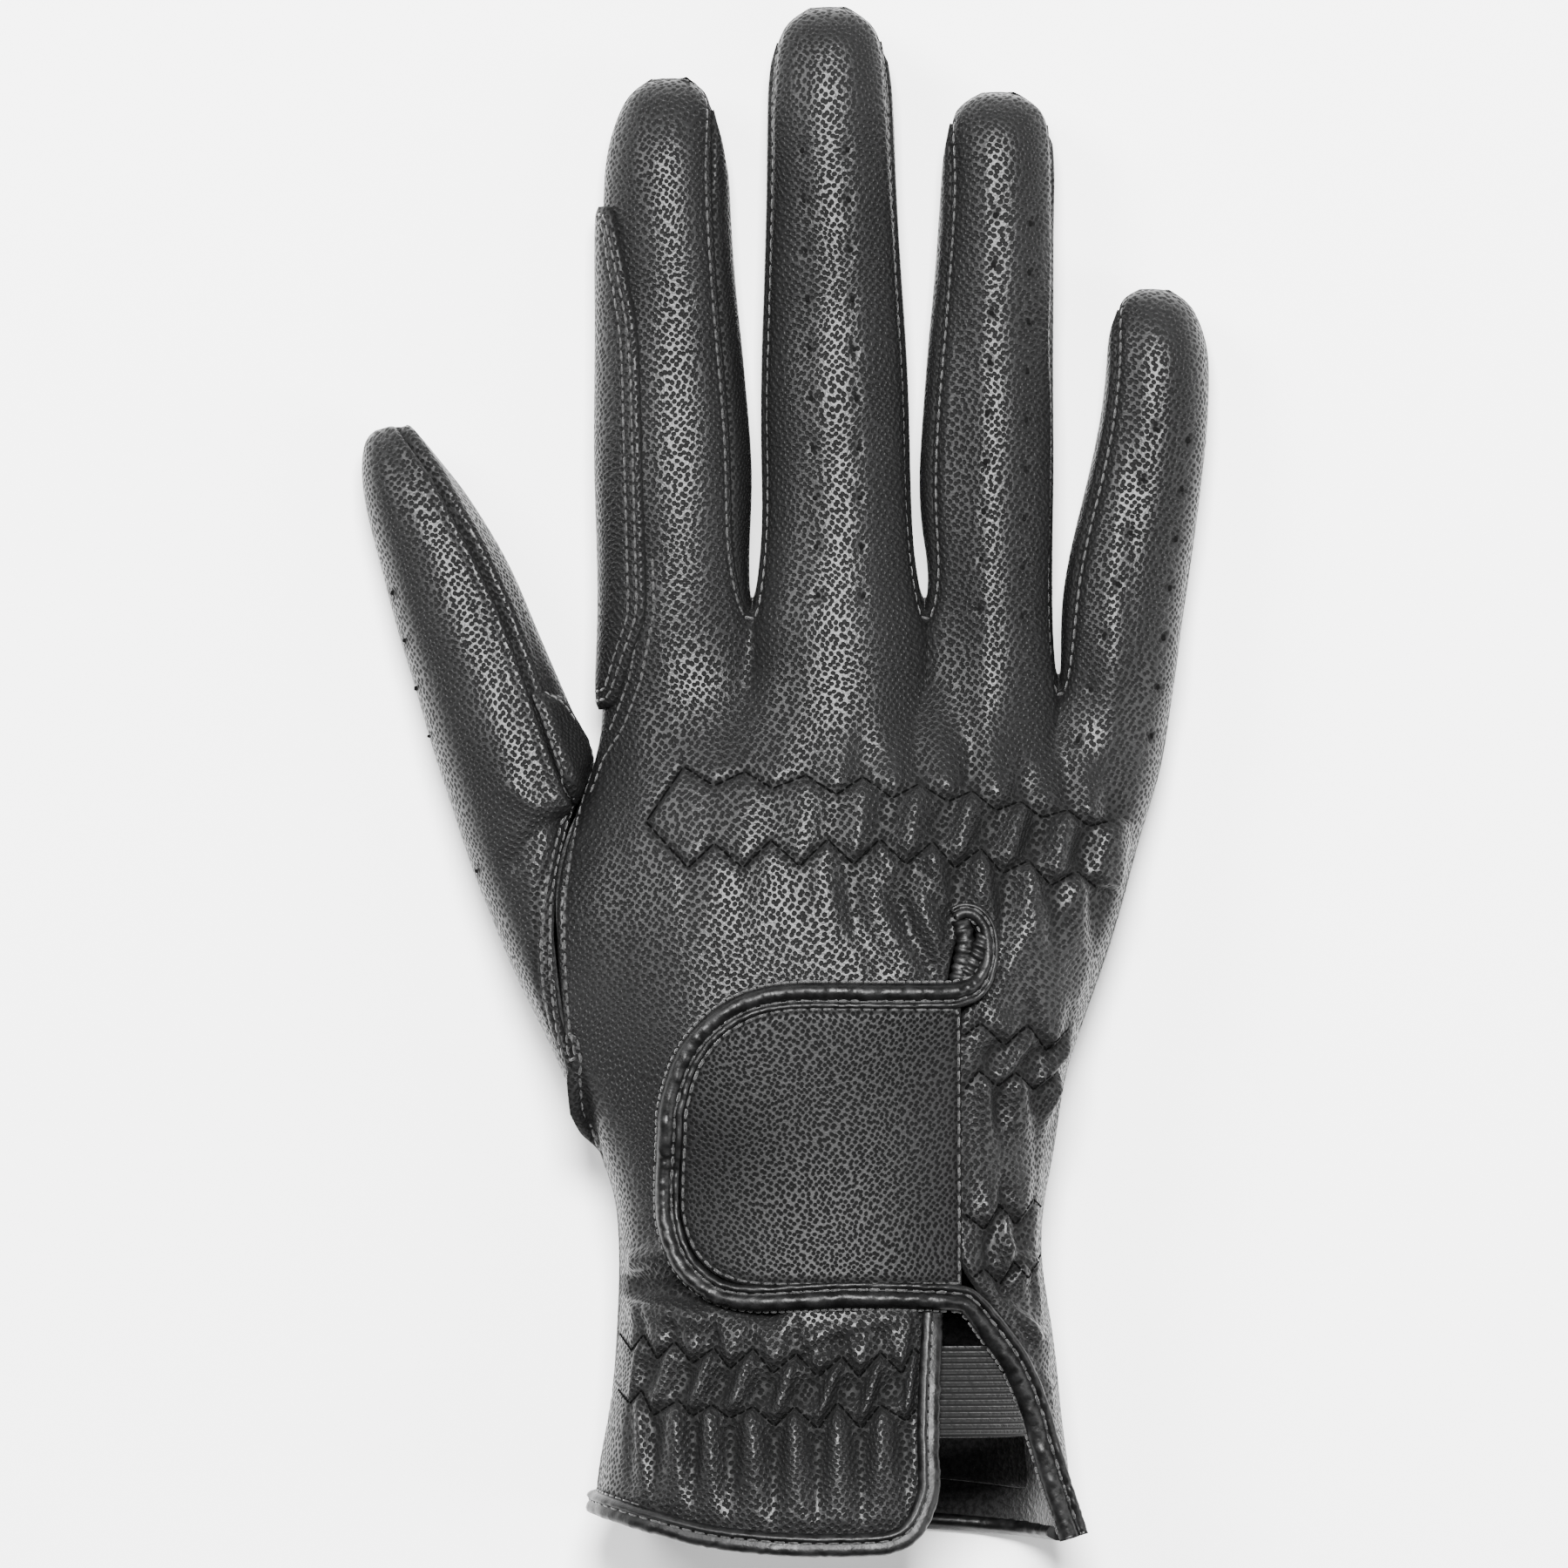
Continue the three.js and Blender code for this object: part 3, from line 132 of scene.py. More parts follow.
def makeGrainGroup():
    group = bpy.data.node_groups.new("leather grain", "ShaderNodeTree")
    for name, way, kind in (("Pitch", "INPUT", "Float"), ("Depth", "INPUT", "Float"),
                            ("Network", "OUTPUT", "Float"), ("Mottle", "OUTPUT", "Float"),
                            ("Normal", "OUTPUT", "Vector")):
        group.interface.new_socket(name, in_out=way, socket_type=f"NodeSocket{kind}")
    entry = group.nodes.new("NodeGroupInput")
    leave = group.nodes.new("NodeGroupOutput")
    coords = objectCoords(group)
    wobble = addNode(group, "ShaderNodeTexNoise",
                     {"Vector": coords, "Scale": pebbles["warpScale"], "Detail": 0.0})
    offset = addNode(group, "ShaderNodeVectorMath",
                     {0: wobble.outputs["Color"], "Scale": pebbles["warp"] * metre},
                     operation="SCALE").outputs[0]
    place = addNode(group, "ShaderNodeVectorMath", {0: coords, 1: offset},
                    operation="ADD").outputs[0]
    density = maths(group, "DIVIDE", 1.0, entry.outputs["Pitch"])
    parts = addNode(group, "ShaderNodeSeparateXYZ", {0: place}).outputs
    facing = addNode(group, "ShaderNodeSeparateXYZ", {0: objectCoords(group, "Normal")}).outputs
    network, weights = None, None
    for across, up, away in ((0, 1, 2), (0, 2, 1), (1, 2, 0)):
        flat = addNode(group, "ShaderNodeCombineXYZ", {0: parts[across], 1: parts[up]})
        turned = addNode(group, "ShaderNodeMapping", {"Vector": flat.outputs[0],
                                                      "Rotation": (0.0, 0.0, pebbles["turn"])})
        cells = addNode(group, "ShaderNodeTexVoronoi",
                        {"Vector": turned.outputs[0], "Scale": density,
                         "Randomness": pebbles["randomness"]}, voronoi_dimensions="2D")
        pits = mapRange(group, cells.outputs["Distance"], *pebbles["pits"])
        weight = maths(group, "POWER", maths(group, "ABSOLUTE", facing[away]), pebbles["sides"])
        share = maths(group, "MULTIPLY", pits, weight)
        network = share if network is None else maths(group, "ADD", network, share)
        weights = weight if weights is None else maths(group, "ADD", weights, weight)
    network = maths(group, "DIVIDE", network, weights)
    broad = addNode(group, "ShaderNodeTexNoise",
                    {"Vector": coords, "Scale": pebbles["broadScale"], "Detail": 4.0})
    fine = addNode(group, "ShaderNodeTexNoise",
                   {"Vector": coords, "Scale": pebbles["fineScale"], "Detail": 1.0})
    fineHeight = maths(group, "MULTIPLY", fine.outputs[0], pebbles["fineShare"])
    bump = bumpOf(group, maths(group, "ADD", network, fineHeight), entry.outputs["Depth"])
    fill(leave, {"Network": network, "Mottle": broad.outputs[0], "Normal": bump})
    return group


grainGroup = makeGrainGroup()


# Painted shade: the leather darkens to its "groove" colour, and dulls, where the mesh's own shade
# attribute marks a groove, a rim, a valley or a hole
def grainLeather(name, look):
    material, tree, shader = newMaterial(name)
    pattern = addNode(tree, "ShaderNodeGroup", {}, node_tree=grainGroup)
    fill(pattern, {"Pitch": look["pitch"] * metre, "Depth": look["depth"] * metre})
    network, mottle, normal = (pattern.outputs[name] for name in ("Network", "Mottle", "Normal"))
    color = blendColor(tree, network, look["pit"], look["land"])
    color = blendColor(tree, mapRange(tree, mottle, 0.35, 0.7, 0.0, 0.3), color, look["worn"])
    # the shade attribute holds the painted shade, from none to full
    shade = addNode(tree, "ShaderNodeAttribute", {}, attribute_name="shade").outputs["Fac"]
    color = blendColor(tree, maths(tree, "MULTIPLY", shade, 0.9), color, look["groove"])
    roughness = maths(tree, "ADD", look["roughness"],
                      maths(tree, "MULTIPLY", maths(tree, "SUBTRACT", 1.0, network), 0.5))
    roughness = maths(tree, "ADD", roughness, maths(tree, "MULTIPLY", shade, 0.4))
    fill(shader, {"Base Color": color, "Roughness": roughness, "Normal": normal,
                  "Specular IOR Level": look["specular"]})
    return material


def smoothLeather(name, look):
    material, tree, shader = newMaterial(name)
    coords = objectCoords(tree)
    creases = addNode(tree, "ShaderNodeTexNoise", {"Vector": coords, "Scale": look["creases"],
                                                   "Detail": 5.0, "Roughness": 0.6})
    fine = addNode(tree, "ShaderNodeTexVoronoi", {"Vector": coords, "Scale": 2300.0})
    height = maths(tree, "ADD", creases.outputs[0],
                   maths(tree, "MULTIPLY", fine.outputs["Distance"], 0.12))
    worn = mapRange(tree, creases.outputs[0], 0.35, 0.7)
    fill(shader, {"Base Color": blendColor(tree, worn, look["dark"], look["light"]),
                  "Roughness": mapRange(tree, creases.outputs[0], 0.3, 0.75, *look["rough"]),
                  "Normal": bumpOf(tree, height, look["depth"] * metre),
                  "Specular IOR Level": look["specular"]})
    return material


def cloth(name, look):
    material, tree, shader = newMaterial(name)
    coords = objectCoords(tree)
    fuzz = addNode(tree, "ShaderNodeTexNoise",
                   {"Vector": coords, "Scale": look["fuzz"], "Detail": 3.0})
    height = fuzz.outputs[0]
    if "ribs" in look:
        along = addNode(tree, "ShaderNodeSeparateXYZ", {0: coords}).outputs[1]
        turns = maths(tree, "MULTIPLY", along, 2 * math.pi / (look["ribs"] * metre))
        ribs = mapRange(tree, maths(tree, "SINE", turns), -0.6, 0.6)
        height = maths(tree, "MULTIPLY", maths(tree, "ADD", height, 0.15), ribs)
    high = mapRange(tree, height, 0.35, 0.65)
    fill(shader, {"Base Color": blendColor(tree, high, look["dark"], look["light"]),
                  "Normal": bumpOf(tree, height, look["depth"] * metre),
                  "Roughness": look["roughness"], "Sheen Weight": look["sheen"],
                  "Specular IOR Level": look["specular"]})
    return material


# In each grain leather, "groove" is the dark colour of the painted shade
grain = grainLeather("grain leather", {
    "pitch": 0.88, "depth": 0.15, "roughness": 0.34, "specular": 0.16, "groove": grey(0.001),
    "pit": grey(0.0003), "land": grey(0.0055, 0.0001), "worn": grey(0.0075, 0.0001),
})
tabGrain = grainLeather("tab grain leather", {
    "pitch": 0.8, "depth": 0.1, "roughness": 0.44, "specular": 0.11, "groove": grey(0.001),
    "pit": grey(0.0003), "land": grey(0.005, 0.0001), "worn": grey(0.006, 0.0001),
})
binding = smoothLeather("smooth leather", {
    "creases": 420.0, "depth": 0.14, "specular": 0.17, "rough": (0.34, 0.5),
    "dark": grey(0.001), "light": grey(0.004, 0.0001),
})
thread = cloth("thread", {
    "fuzz": 2500.0, "depth": 0.05, "roughness": 0.9, "sheen": 0.0, "specular": 0.02,
    "dark": grey(0.0003), "light": grey(0.002),
})
seamThread = cloth("seam thread", {
    "fuzz": 2500.0, "depth": 0.05, "roughness": 0.45, "sheen": 0.3, "specular": 0.12,
    "dark": grey(0.002), "light": grey(0.03),
})
elasticCloth = cloth("elastic", {
    "fuzz": 1800.0, "depth": 0.3, "roughness": 0.6, "sheen": 0.2, "specular": 0.05, "ribs": 0.95,
    "dark": grey(0.0002), "light": grey(0.004),
})
liningCloth = cloth("lining", {
    "fuzz": 1300.0, "depth": 0.35, "roughness": 0.95, "sheen": 0.5, "specular": 0.12,
    "dark": grey(0.001), "light": grey(0.012, 0.0002),
})
# The dark discs over the air holes: the holes themselves, and painted shade inside them
holeShadeCloth = cloth("hole", {
    "fuzz": 900.0, "depth": 0.02, "roughness": 1.0, "sheen": 0.0, "specular": 0.12,
    "dark": grey(0.0005), "light": grey(0.001),
})
print("materials made")


# A finished piece: its mesh, its material, the body it rides on and what it stands for
def addPiece(name, points, faces, material, slot, replaced=()):
    mesh = bpy.data.meshes.new(name)
    mesh.from_pydata((np.asarray(points) * metre).tolist(), [], faces)
    mesh.update()
    mesh.polygons.foreach_set("use_smooth", [True] * len(mesh.polygons))
    piece = bpy.data.objects.new(name, mesh)
    bpy.context.scene.collection.objects.link(piece)
    piece.data.materials.append(material)
    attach(piece, "root")
    if replaced:
        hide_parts(*replaced)
    return piece


# How a node's wall is read: how near doubled points lie, how far an edge through the wall may
# miss its thickness, and how steep it stands at least
walls = {"weld": 0.002, "slack": 0.004, "steepness": 0.3, "calmPasses": 5}


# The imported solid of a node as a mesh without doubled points
def solidOf(node):
    shape = bmesh.new()
    shape.from_mesh(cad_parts[node].data)
    bmesh.ops.remove_doubles(shape, verts=shape.verts[:], dist=walls["weld"] * metre)
    return shape


def quadsOf(shape):
    bmesh.ops.join_triangles(shape, faces=shape.faces[:], angle_face_threshold=math.radians(75),
                             angle_shape_threshold=math.pi, topology_influence=1.5)


# Deletes the strip of a wall between its two sides; both sides stay, apart from each other
def cutRim(shape, thickness):
    shape.normal_update()
    through = []
    for edge in shape.edges:
        if abs(edge.calc_length() - thickness * metre) > walls["slack"] * metre:
            continue
        a, b = edge.verts
        way = (b.co - a.co).normalized()
        if max(abs(way.dot(a.normal)), abs(way.dot(b.normal))) > walls["steepness"]:
            through.append(edge)
    rim = {face for edge in through for face in edge.link_faces}
    bmesh.ops.delete(shape, geom=list(rim), context="FACES")


def islandsOf(shape):
    left = set(shape.faces)
    islands = []
    while left:
        start = left.pop()
        island, waiting = {start}, [start]
        while waiting:
            for edge in waiting.pop().edges:
                for face in edge.link_faces:
                    if face in left:
                        left.discard(face)
                        island.add(face)
                        waiting.append(face)
        islands.append(island)
    return islands


# How much a side of a wall faces away from the wall's middle
def outwardness(faces, middle):
    return sum(face.normal.dot(face.calc_center_median() - middle) * face.calc_area()
               for face in faces)


# The outer or inner side of a wall, subdivided: its points and faces in millimetres
def sideOf(node, thickness, levels, convex=True, other=False, calm=None):
    shape = solidOf(node)
    cutRim(shape, thickness)
    middle = (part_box(node)[0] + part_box(node)[1]) / 2
    islands = sorted(islandsOf(shape), key=len, reverse=True)[:2]
    islands.sort(key=lambda faces: outwardness(faces, middle), reverse=convex)
    keep = islands[1] if other else islands[0]
    bmesh.ops.delete(shape, geom=[f for f in shape.faces if f not in keep], context="FACES")
    quadsOf(shape)
    if calm:
        inside = [v for v in shape.verts if not v.is_boundary and calm(v.co / metre)]
        for _ in range(walls["calmPasses"]):
            bmesh.ops.smooth_vert(shape, verts=inside, factor=0.5, use_axis_x=True,
                                  use_axis_y=True, use_axis_z=True)
    return subdivided(shape, levels)


def subdivided(shape, levels):
    mesh = bpy.data.meshes.new("rough")
    shape.to_mesh(mesh)
    shape.free()
    rough = bpy.data.objects.new("rough", mesh)
    bpy.context.scene.collection.objects.link(rough)
    modifier = rough.modifiers.new("smooth", "SUBSURF")
    modifier.levels = modifier.render_levels = levels
    modifier.boundary_smooth = "PRESERVE_CORNERS"
    fine = rough.evaluated_get(bpy.context.evaluated_depsgraph_get()).to_mesh()
    points = np.empty(len(fine.vertices) * 3)
    fine.vertices.foreach_get("co", points)
    faces = [tuple(polygon.vertices) for polygon in fine.polygons]
    bpy.data.objects.remove(rough)
    bpy.data.meshes.remove(mesh)
    return points.reshape(-1, 3) / metre, faces


# Splits the faces where the test holds into four
def refined(points, faces, test):
    shape = bmesh.new()
    verts = [shape.verts.new(point) for point in points]
    for face in faces:
        shape.faces.new([verts[k] for k in face])
    inside = {vert for vert, flag in zip(verts, test(points)) if flag}
    edges = [edge for edge in shape.edges if edge.verts[0] in inside and edge.verts[1] in inside]
    bmesh.ops.subdivide_edges(shape, edges=edges, cuts=1, use_grid_fill=True,
                              quad_corner_type="INNER_VERT")
    bmesh.ops.triangulate(shape, faces=[face for face in shape.faces if len(face.verts) > 4])
    shape.verts.index_update()
    points = np.array([vert.co[:] for vert in shape.verts])
    faces = [tuple(vert.index for vert in face.verts) for face in shape.faces]
    shape.free()
    return points, faces


def normalsOf(points, faces):
    quads = np.array([face if len(face) == 4 else (*face, face[2]) for face in faces])
    a, b, c, d = (points[quads[:, k]] for k in range(4))
    normals = np.cross(c - a, d - b)
    total = np.zeros_like(points)
    for k in range(4):
        np.add.at(total, quads[:, k], normals)
    return total / np.maximum(np.linalg.norm(total, axis=1, keepdims=True), 1e-12)


# The open edges of a surface as ordered loops of point numbers
def loopsOf(faces):
    seen = {}
    for face in faces:
        for k, a in enumerate(face):
            seen[(a, face[(k + 1) % len(face)])] = True
    after = {a: b for a, b in seen if (b, a) not in seen}
    loops = []
    while after:
        start, here = next(iter(after.items()))
        loop = [start]
        del after[start]
        while here in after and here != start:
            loop.append(here)
            here = after.pop(here)
        loops.append(loop)
    return loops


# Samples along a surface's open edges: places, directions into the surface, arc lengths
class Edging:
    def __init__(self, points, faces, normals):
        places, inward, length = [], [], []
        for loop in loopsOf(faces):
            ring = points[loop]
            ahead = np.roll(ring, -1, axis=0)
            behind = np.roll(ring, 1, axis=0)
            tangent = ahead - behind
            tangent /= np.maximum(np.linalg.norm(tangent, axis=1, keepdims=True), 1e-9)
            places.append(ring)
            inward.append(np.cross(normals[loop], tangent))
            steps = np.linalg.norm(ring - behind, axis=1)
            steps[0] = 0
            length.append(np.cumsum(steps))
        self.loops = places
        self.ways = inward
        self.places = np.vstack(places)
        self.length = np.concatenate(length)
        self.tree = KDTree(len(self.places))
        for k, place in enumerate(self.places):
            self.tree.insert(place, k)
        self.tree.balance()

    # The distance to the edge, and the arc length there, for each point
    def measure(self, points):
        found = [self.tree.find(point)[1:] for point in points]
        near = np.array([index for index, _ in found])
        return np.array([distance for _, distance in found]), self.length[near]


probe = {"start": 80, "reach": 100}  # above the glove, and down past its underside


# Where a surface is met from straight above, and which way it faces there
def fromAbove(tree, x, y):
    return tree.ray_cast(Vector((x, y, probe["start"])), Vector((0, 0, -1)), probe["reach"])[:2]


print("mesh tools ready")


def unit(ways):
    return ways / np.linalg.norm(ways, axis=-1, keepdims=True)


def lengthsAlong(chain):
    return np.concatenate([[0], np.cumsum(np.linalg.norm(np.diff(chain, axis=0), axis=1))])


# Soft shapes in the leather
def bell(distance, width):
    return np.exp(-(distance / width) ** 2)


def ramp(value, low, high):
    share = np.clip((value - low) / (high - low), 0, 1)
    return share * share * (3 - 2 * share)


# Distance in plan from points to an open chain of corners
def chainDistance(points, corners):
    best = np.full(len(points), 1e9)
    for a, b in zip(corners[:-1], corners[1:]):
        way = b - a
        share = np.clip(((points[:, :2] - a) @ way) / (way @ way), 0, 1)
        best = np.minimum(best, np.linalg.norm(points[:, :2] - a - share[:, None] * way, axis=1))
    return best


# Two zigzag rows over hidden elastic. Each row is given by its peaks, and "first" says which of
# them a crest meets. The leather puffs up on both sides of the thread and fades out over "up"
# and "down" pixels. The puffs grow from the first height to the second across "rise".
bands = {
    "knuckle": {
        "top": [(742, 943), (785, 880), (820, 902), (855, 886), (887, 905), (925, 890),
                (960, 912), (990, 892), (1024, 916), (1055, 900), (1088, 920), (1115, 908),
                (1143, 930), (1170, 920), (1196, 938), (1225, 930), (1250, 948), (1275, 942)],
        "bottom": [(742, 943), (768, 972), (790, 996), (820, 968), (853, 996), (885, 964),
                   (918, 994), (950, 963), (980, 992), (1010, 963), (1040, 992), (1070, 966),
                   (1096, 996), (1125, 974), (1150, 1002), (1180, 988), (1206, 1016),
                   (1235, 1000), (1258, 1018)],
        "up": 90, "down": 110, "height": (0.14, 1.25), "rise": (880, 1130),
        "first": (1, 2),
    },
    "cuff": {
        "top": [(712, 1531), (725, 1549), (739, 1531), (755, 1558), (775, 1538), (795, 1563),
                (820, 1545), (838, 1569), (865, 1545), (887, 1574), (914, 1551), (939, 1578),
                (966, 1554), (986, 1578), (1010, 1550), (1035, 1574), (1048, 1545), (1072, 1566)],
        "bottom": [(710, 1594), (723, 1610), (737, 1594), (750, 1623), (779, 1605), (795, 1623),
                   (817, 1610), (838, 1625), (865, 1612), (889, 1634), (912, 1612), (939, 1637),
                   (961, 1607), (988, 1637), (1010, 1610), (1040, 1628), (1058, 1607),
                   (1068, 1612)],
        "up": 50, "down": 140, "height": (0.9, 1.3), "rise": (700, 860),
        "first": (2, 1),
    },
    "wristHigh": {
        "top": [(1107, 1187), (1125, 1174), (1152, 1199), (1179, 1176), (1201, 1205), (1228, 1179)],
        "bottom": [(1107, 1250), (1123, 1228), (1143, 1246), (1165, 1230), (1186, 1250),
                   (1208, 1232)],
        "up": 50, "down": 90, "height": (1.1, 1.1), "rise": (1100, 1200),
        "first": (1, 0),
    },
    "wristLow": {
        "top": [(1107, 1392), (1129, 1410), (1147, 1381), (1165, 1405), (1186, 1376), (1205, 1396)],
        "bottom": [(1110, 1470), (1129, 1455), (1147, 1473), (1163, 1446), (1180, 1466),
                   (1195, 1440)],
        "up": 60, "down": 40, "height": (1.1, 1.1), "rise": (1100, 1200),
        "first": (2, 2),
    },
}

# Single folds: a chain of places, how far each stands up or sinks in, and its half breadth
folds = [
    ([(712, 1473), (760, 1482), (830, 1480), (880, 1500)], -2.3, 2.4),
    ([(716, 1455), (752, 1443), (790, 1436)], 1.6, 1.8),
    ([(712, 1498), (760, 1500), (800, 1512)], 1.2, 1.8),
    ([(900, 1552), (950, 1527), (1026, 1514)], 0.5, 1.1),
    ([(915, 1560), (960, 1540), (1030, 1524)], -0.6, 1.0),
    ([(950, 1560), (990, 1536), (1044, 1520)], 0.5, 1.0),
    ([(1150, 1432), (1180, 1462), (1210, 1506)], 1.3, 1.7),
    ([(1128, 1462), (1165, 1496), (1213, 1540)], -1.1, 1.3),
    ([(1124, 1484), (1165, 1516), (1220, 1556)], 1.2, 1.8),
    ([(1170, 1545), (1200, 1572), (1222, 1590)], -0.9, 1.3),
    ([(1175, 1560), (1200, 1590), (1226, 1620)], 0.8, 1.5),
    ([(1000, 985), (1030, 1040), (1068, 1112)], -0.8, 1.6),
    ([(960, 1000), (985, 1060), (1010, 1110)], -0.45, 2.0),
    ([(1060, 1000), (1078, 1040), (1096, 1075)], -0.8, 1.4),
    ([(1030, 1000), (1055, 1045), (1082, 1100)], 0.6, 1.5),
    ([(1210, 1040), (1170, 1090), (1135, 1135)], 0.8, 2.0),
    ([(1165, 1020), (1150, 1060), (1143, 1100)], -0.7, 1.4),
    ([(1225, 1280), (1205, 1300), (1190, 1330)], -0.8, 2.2),
    ([(1205, 1250), (1190, 1275), (1165, 1290)], 0.5, 1.6),
]


# Where each x lies along a zigzag: a whole number where a crest between the rows meets it
def phaseOf(corners, x, first):
    return np.interp(x, corners[:, 0], (np.arange(len(corners)) - first) / 2)


gather = {"lap": 4, "aboveSize": 0.8, "belowStart": 0.15, "size": 1.1, "lift": 0.35, "shade": 0.6,
          "pinch": 0.9, "threadSink": 0.5, "threadBreadth": 0.45, "threadShade": 0.6,
          "valley": (0.25, 1.0)}


# How far a gathered band stands up or sinks in at each point, and how much painted shade it takes
# there: along the thread and in the valleys between the puffs
def puffOf(band, points):
    top, bottom = spots(band["top"]), spots(band["bottom"])
    x, y = points[:, 0], points[:, 1]
    start, end, lap = top[0, 0], top[-1, 0], gather["lap"]
    inside = ramp(x, start - 1, start + lap) * (1 - ramp(x, end, end + lap))
    lineTop = np.interp(x, top[:, 0], top[:, 1])
    lineBottom = np.interp(x, bottom[:, 0], bottom[:, 1])
    uTop, uBottom = (phaseOf(row, x, first) for row, first in zip((top, bottom), band["first"]))
    share = np.clip((lineTop - y) / np.maximum(lineTop - lineBottom, 0.5), 0, 1)
    up, down = band["up"] * pixel, band["down"] * pixel
    middle = np.cos(2 * np.pi * ((1 - share) * uTop + share * uBottom))
    above = -np.cos(2 * np.pi * uTop) * (1 - ramp(y - lineTop, 0, up)) * gather["aboveSize"]
    fade = 1 - ramp(lineBottom - y, down * gather["belowStart"], down)
    below = -np.cos(2 * np.pi * uBottom) * fade
    puff = np.where(y > lineTop, above, np.where(y < lineBottom, below, middle))
    near = np.minimum(chainDistance(points, top), chainDistance(points, bottom))
    low, high = band["height"]
    size = low + (high - low) * ramp(x, *(acrossAt(px) for px in band["rise"]))
    valley = ramp(-puff, *gather["valley"])
    puff = puff * (1 - bell(near, gather["pinch"]))
    height = inside * size * (puff * gather["size"] + gather["lift"])
    height = height - gather["threadSink"] * bell(near, gather["threadBreadth"])
    return height, bell(near, gather["threadShade"]) + gather["shade"] * inside * size * valley


def foldsOf(points, rows):
    total = np.zeros(len(points))
    for chain, height, breadth in rows:
        total += height * bell(chainDistance(points, spots(chain)), breadth)
    return total


# Slow uneven swells, so that no stretch of leather is quite even; they fade out at the edge
def swellOf(points, distance, size, length, waves=7):
    total = np.zeros(len(points))
    for _ in range(waves):
        way = rng.normal(size=3)
        way *= rng.uniform(0.6, 1.4) * 2 * np.pi / (length * np.linalg.norm(way))
        total += np.sin(points @ way + rng.uniform(0, 6.28))
    return total * size / waves ** 0.5 * ramp(distance, 0.5, 3)


# A sewn edge: the rim rounds off, and a row of stitches pulls the leather in beside it; painted
# shade darkens the rim and each row of stitches
seam = {"inset": 1.25, "pitch": 2.1, "sink": 0.24, "breadth": 0.5, "round": 0.5, "reach": 0.35,
        "rimShade": (0.9, 0.3), "rowShade": (0.85, 0.32), "pull": 0.3}


def seamOf(distance, length, rows=(seam["inset"],), sewn=1.0):
    total = -seam["round"] * bell(distance, seam["reach"])
    dark, breadth = seam["rimShade"]
    shade = dark * bell(distance, breadth)
    dark, breadth = seam["rowShade"]
    pull = 1 - seam["pull"] + seam["pull"] * np.cos(2 * np.pi * length / seam["pitch"])
    for inset in rows:
        total = total - sewn * seam["sink"] * pull * bell(distance - inset, seam["breadth"])
        shade = shade + sewn * dark * bell(distance - inset, breadth)
    return total, shade


# The fingertips end in a short straight seam; this rounds them off. Each tip has its place, the
# way it points and the radius of its cap.
tips = [((768, 85), (0.0, 1.0), 9.0), ((951, 3), (0.0, 1.0), 9.5), ((1147, 101), (0.0, 1.0), 9.0),
        ((1327, 328), (0.0, 1.0), 8.5), ((449, 486), (-0.15, 0.989), 7.0)]


tipLook = {"soft": 1.6, "over": 0.6, "reach": 5, "fade": (0.6, 0.86)}


def roundTips(points):
    soft, over = tipLook["soft"], tipLook["over"]
    for place, way, radius in tips:
        way = np.array(way)
        local = points[:, :2] - np.array(spot(*place))
        along, across = local @ way, local @ np.array([way[1], -way[0]])
        cap = over - radius + np.sqrt(np.maximum(radius ** 2 - across ** 2, 0))
        excess = along - (cap - soft)
        near = (along > -tipLook["reach"]) & (excess > 0)
        fade = 1 - ramp(np.abs(across), *(radius * share for share in tipLook["fade"]))
        drop = cap - soft * np.exp(-np.maximum(excess, 0) / soft) - along
        points[:, :2] += (np.where(near, drop, 0) * fade)[:, None] * way
    return points


# The inner side follows grooves deeper than the slack, and keeps clear of the outer side
innerSide = {"slack": 0.5, "clear": 0.35}


# A surface with its rim turned down by the leather's thickness, and a coarse inner side
def panelPiece(name, node, look, shape, convex=True, inner=True, calm=None, fine=None,
               adjust=None):
    thickness = look["thickness"]
    points, faces = sideOf(node, thickness, look["levels"], convex, calm=calm)
    if fine:
        points, faces = refined(points, faces, fine)
    normals = normalsOf(points, faces)
    edging = Edging(points, faces, normals)
    distance, length = edging.measure(points)
    height, shade = shape(points, normals, distance, length)
    raised = roundTips(points + normals * height[:, None])
    if adjust:
        raised = adjust(raised)
    loops = loopsOf(faces)
    allPoints, allFaces = [raised], list(faces)
    count = len(raised)
    for loop in loops:
        ways = sum(np.roll(normals[loop], step, 0) for step in (0, 1, -1, 2, -2))
        ring = raised[loop] - unit(ways) * thickness
        allPoints.append(ring)
        size = len(loop)
        for k in range(size):
            nextK = (k + 1) % size
            allFaces.append((loop[nextK], loop[k], count + k, count + nextK))
        count += size
    if inner:
        inPoints, inFaces = sideOf(node, thickness, 1, convex, other=True)
        near = KDTree(len(points))
        for k, point in enumerate(points):
            near.insert(point, k)
        near.balance()
        under = np.array([near.find(point)[1] for point in inPoints])
        follow = np.minimum(0, height[under] + innerSide["slack"]) - innerSide["clear"]
        inPoints = inPoints + normals[under] * follow[:, None]
        allPoints.append(inPoints)
        allFaces += [tuple(count + v for v in face) for face in inFaces]
        outerCount = len(allFaces) - len(inFaces)
    piece = addPiece(name, np.vstack(allPoints), allFaces, look["material"], "grain_leather",
                     (node,))
    # The shade attribute carries the painted shade: the shape's own on the outer side, full shade
    # on the turned-down rim and the inner side
    values = np.ones(len(piece.data.vertices))
    values[:len(shade)] = np.clip(shade, 0, 1)
    piece.data.attributes.new("shade", "FLOAT", "POINT").data.foreach_set("value", values)
    if inner:
        piece.data.materials.append(liningCloth)
        slots = [0] * outerCount + [1] * len(inFaces)
        piece.data.polygons.foreach_set("material_index", slots)
    return {"edging": edging, "tree": BVHTree.FromPolygons(raised.tolist(), faces)}


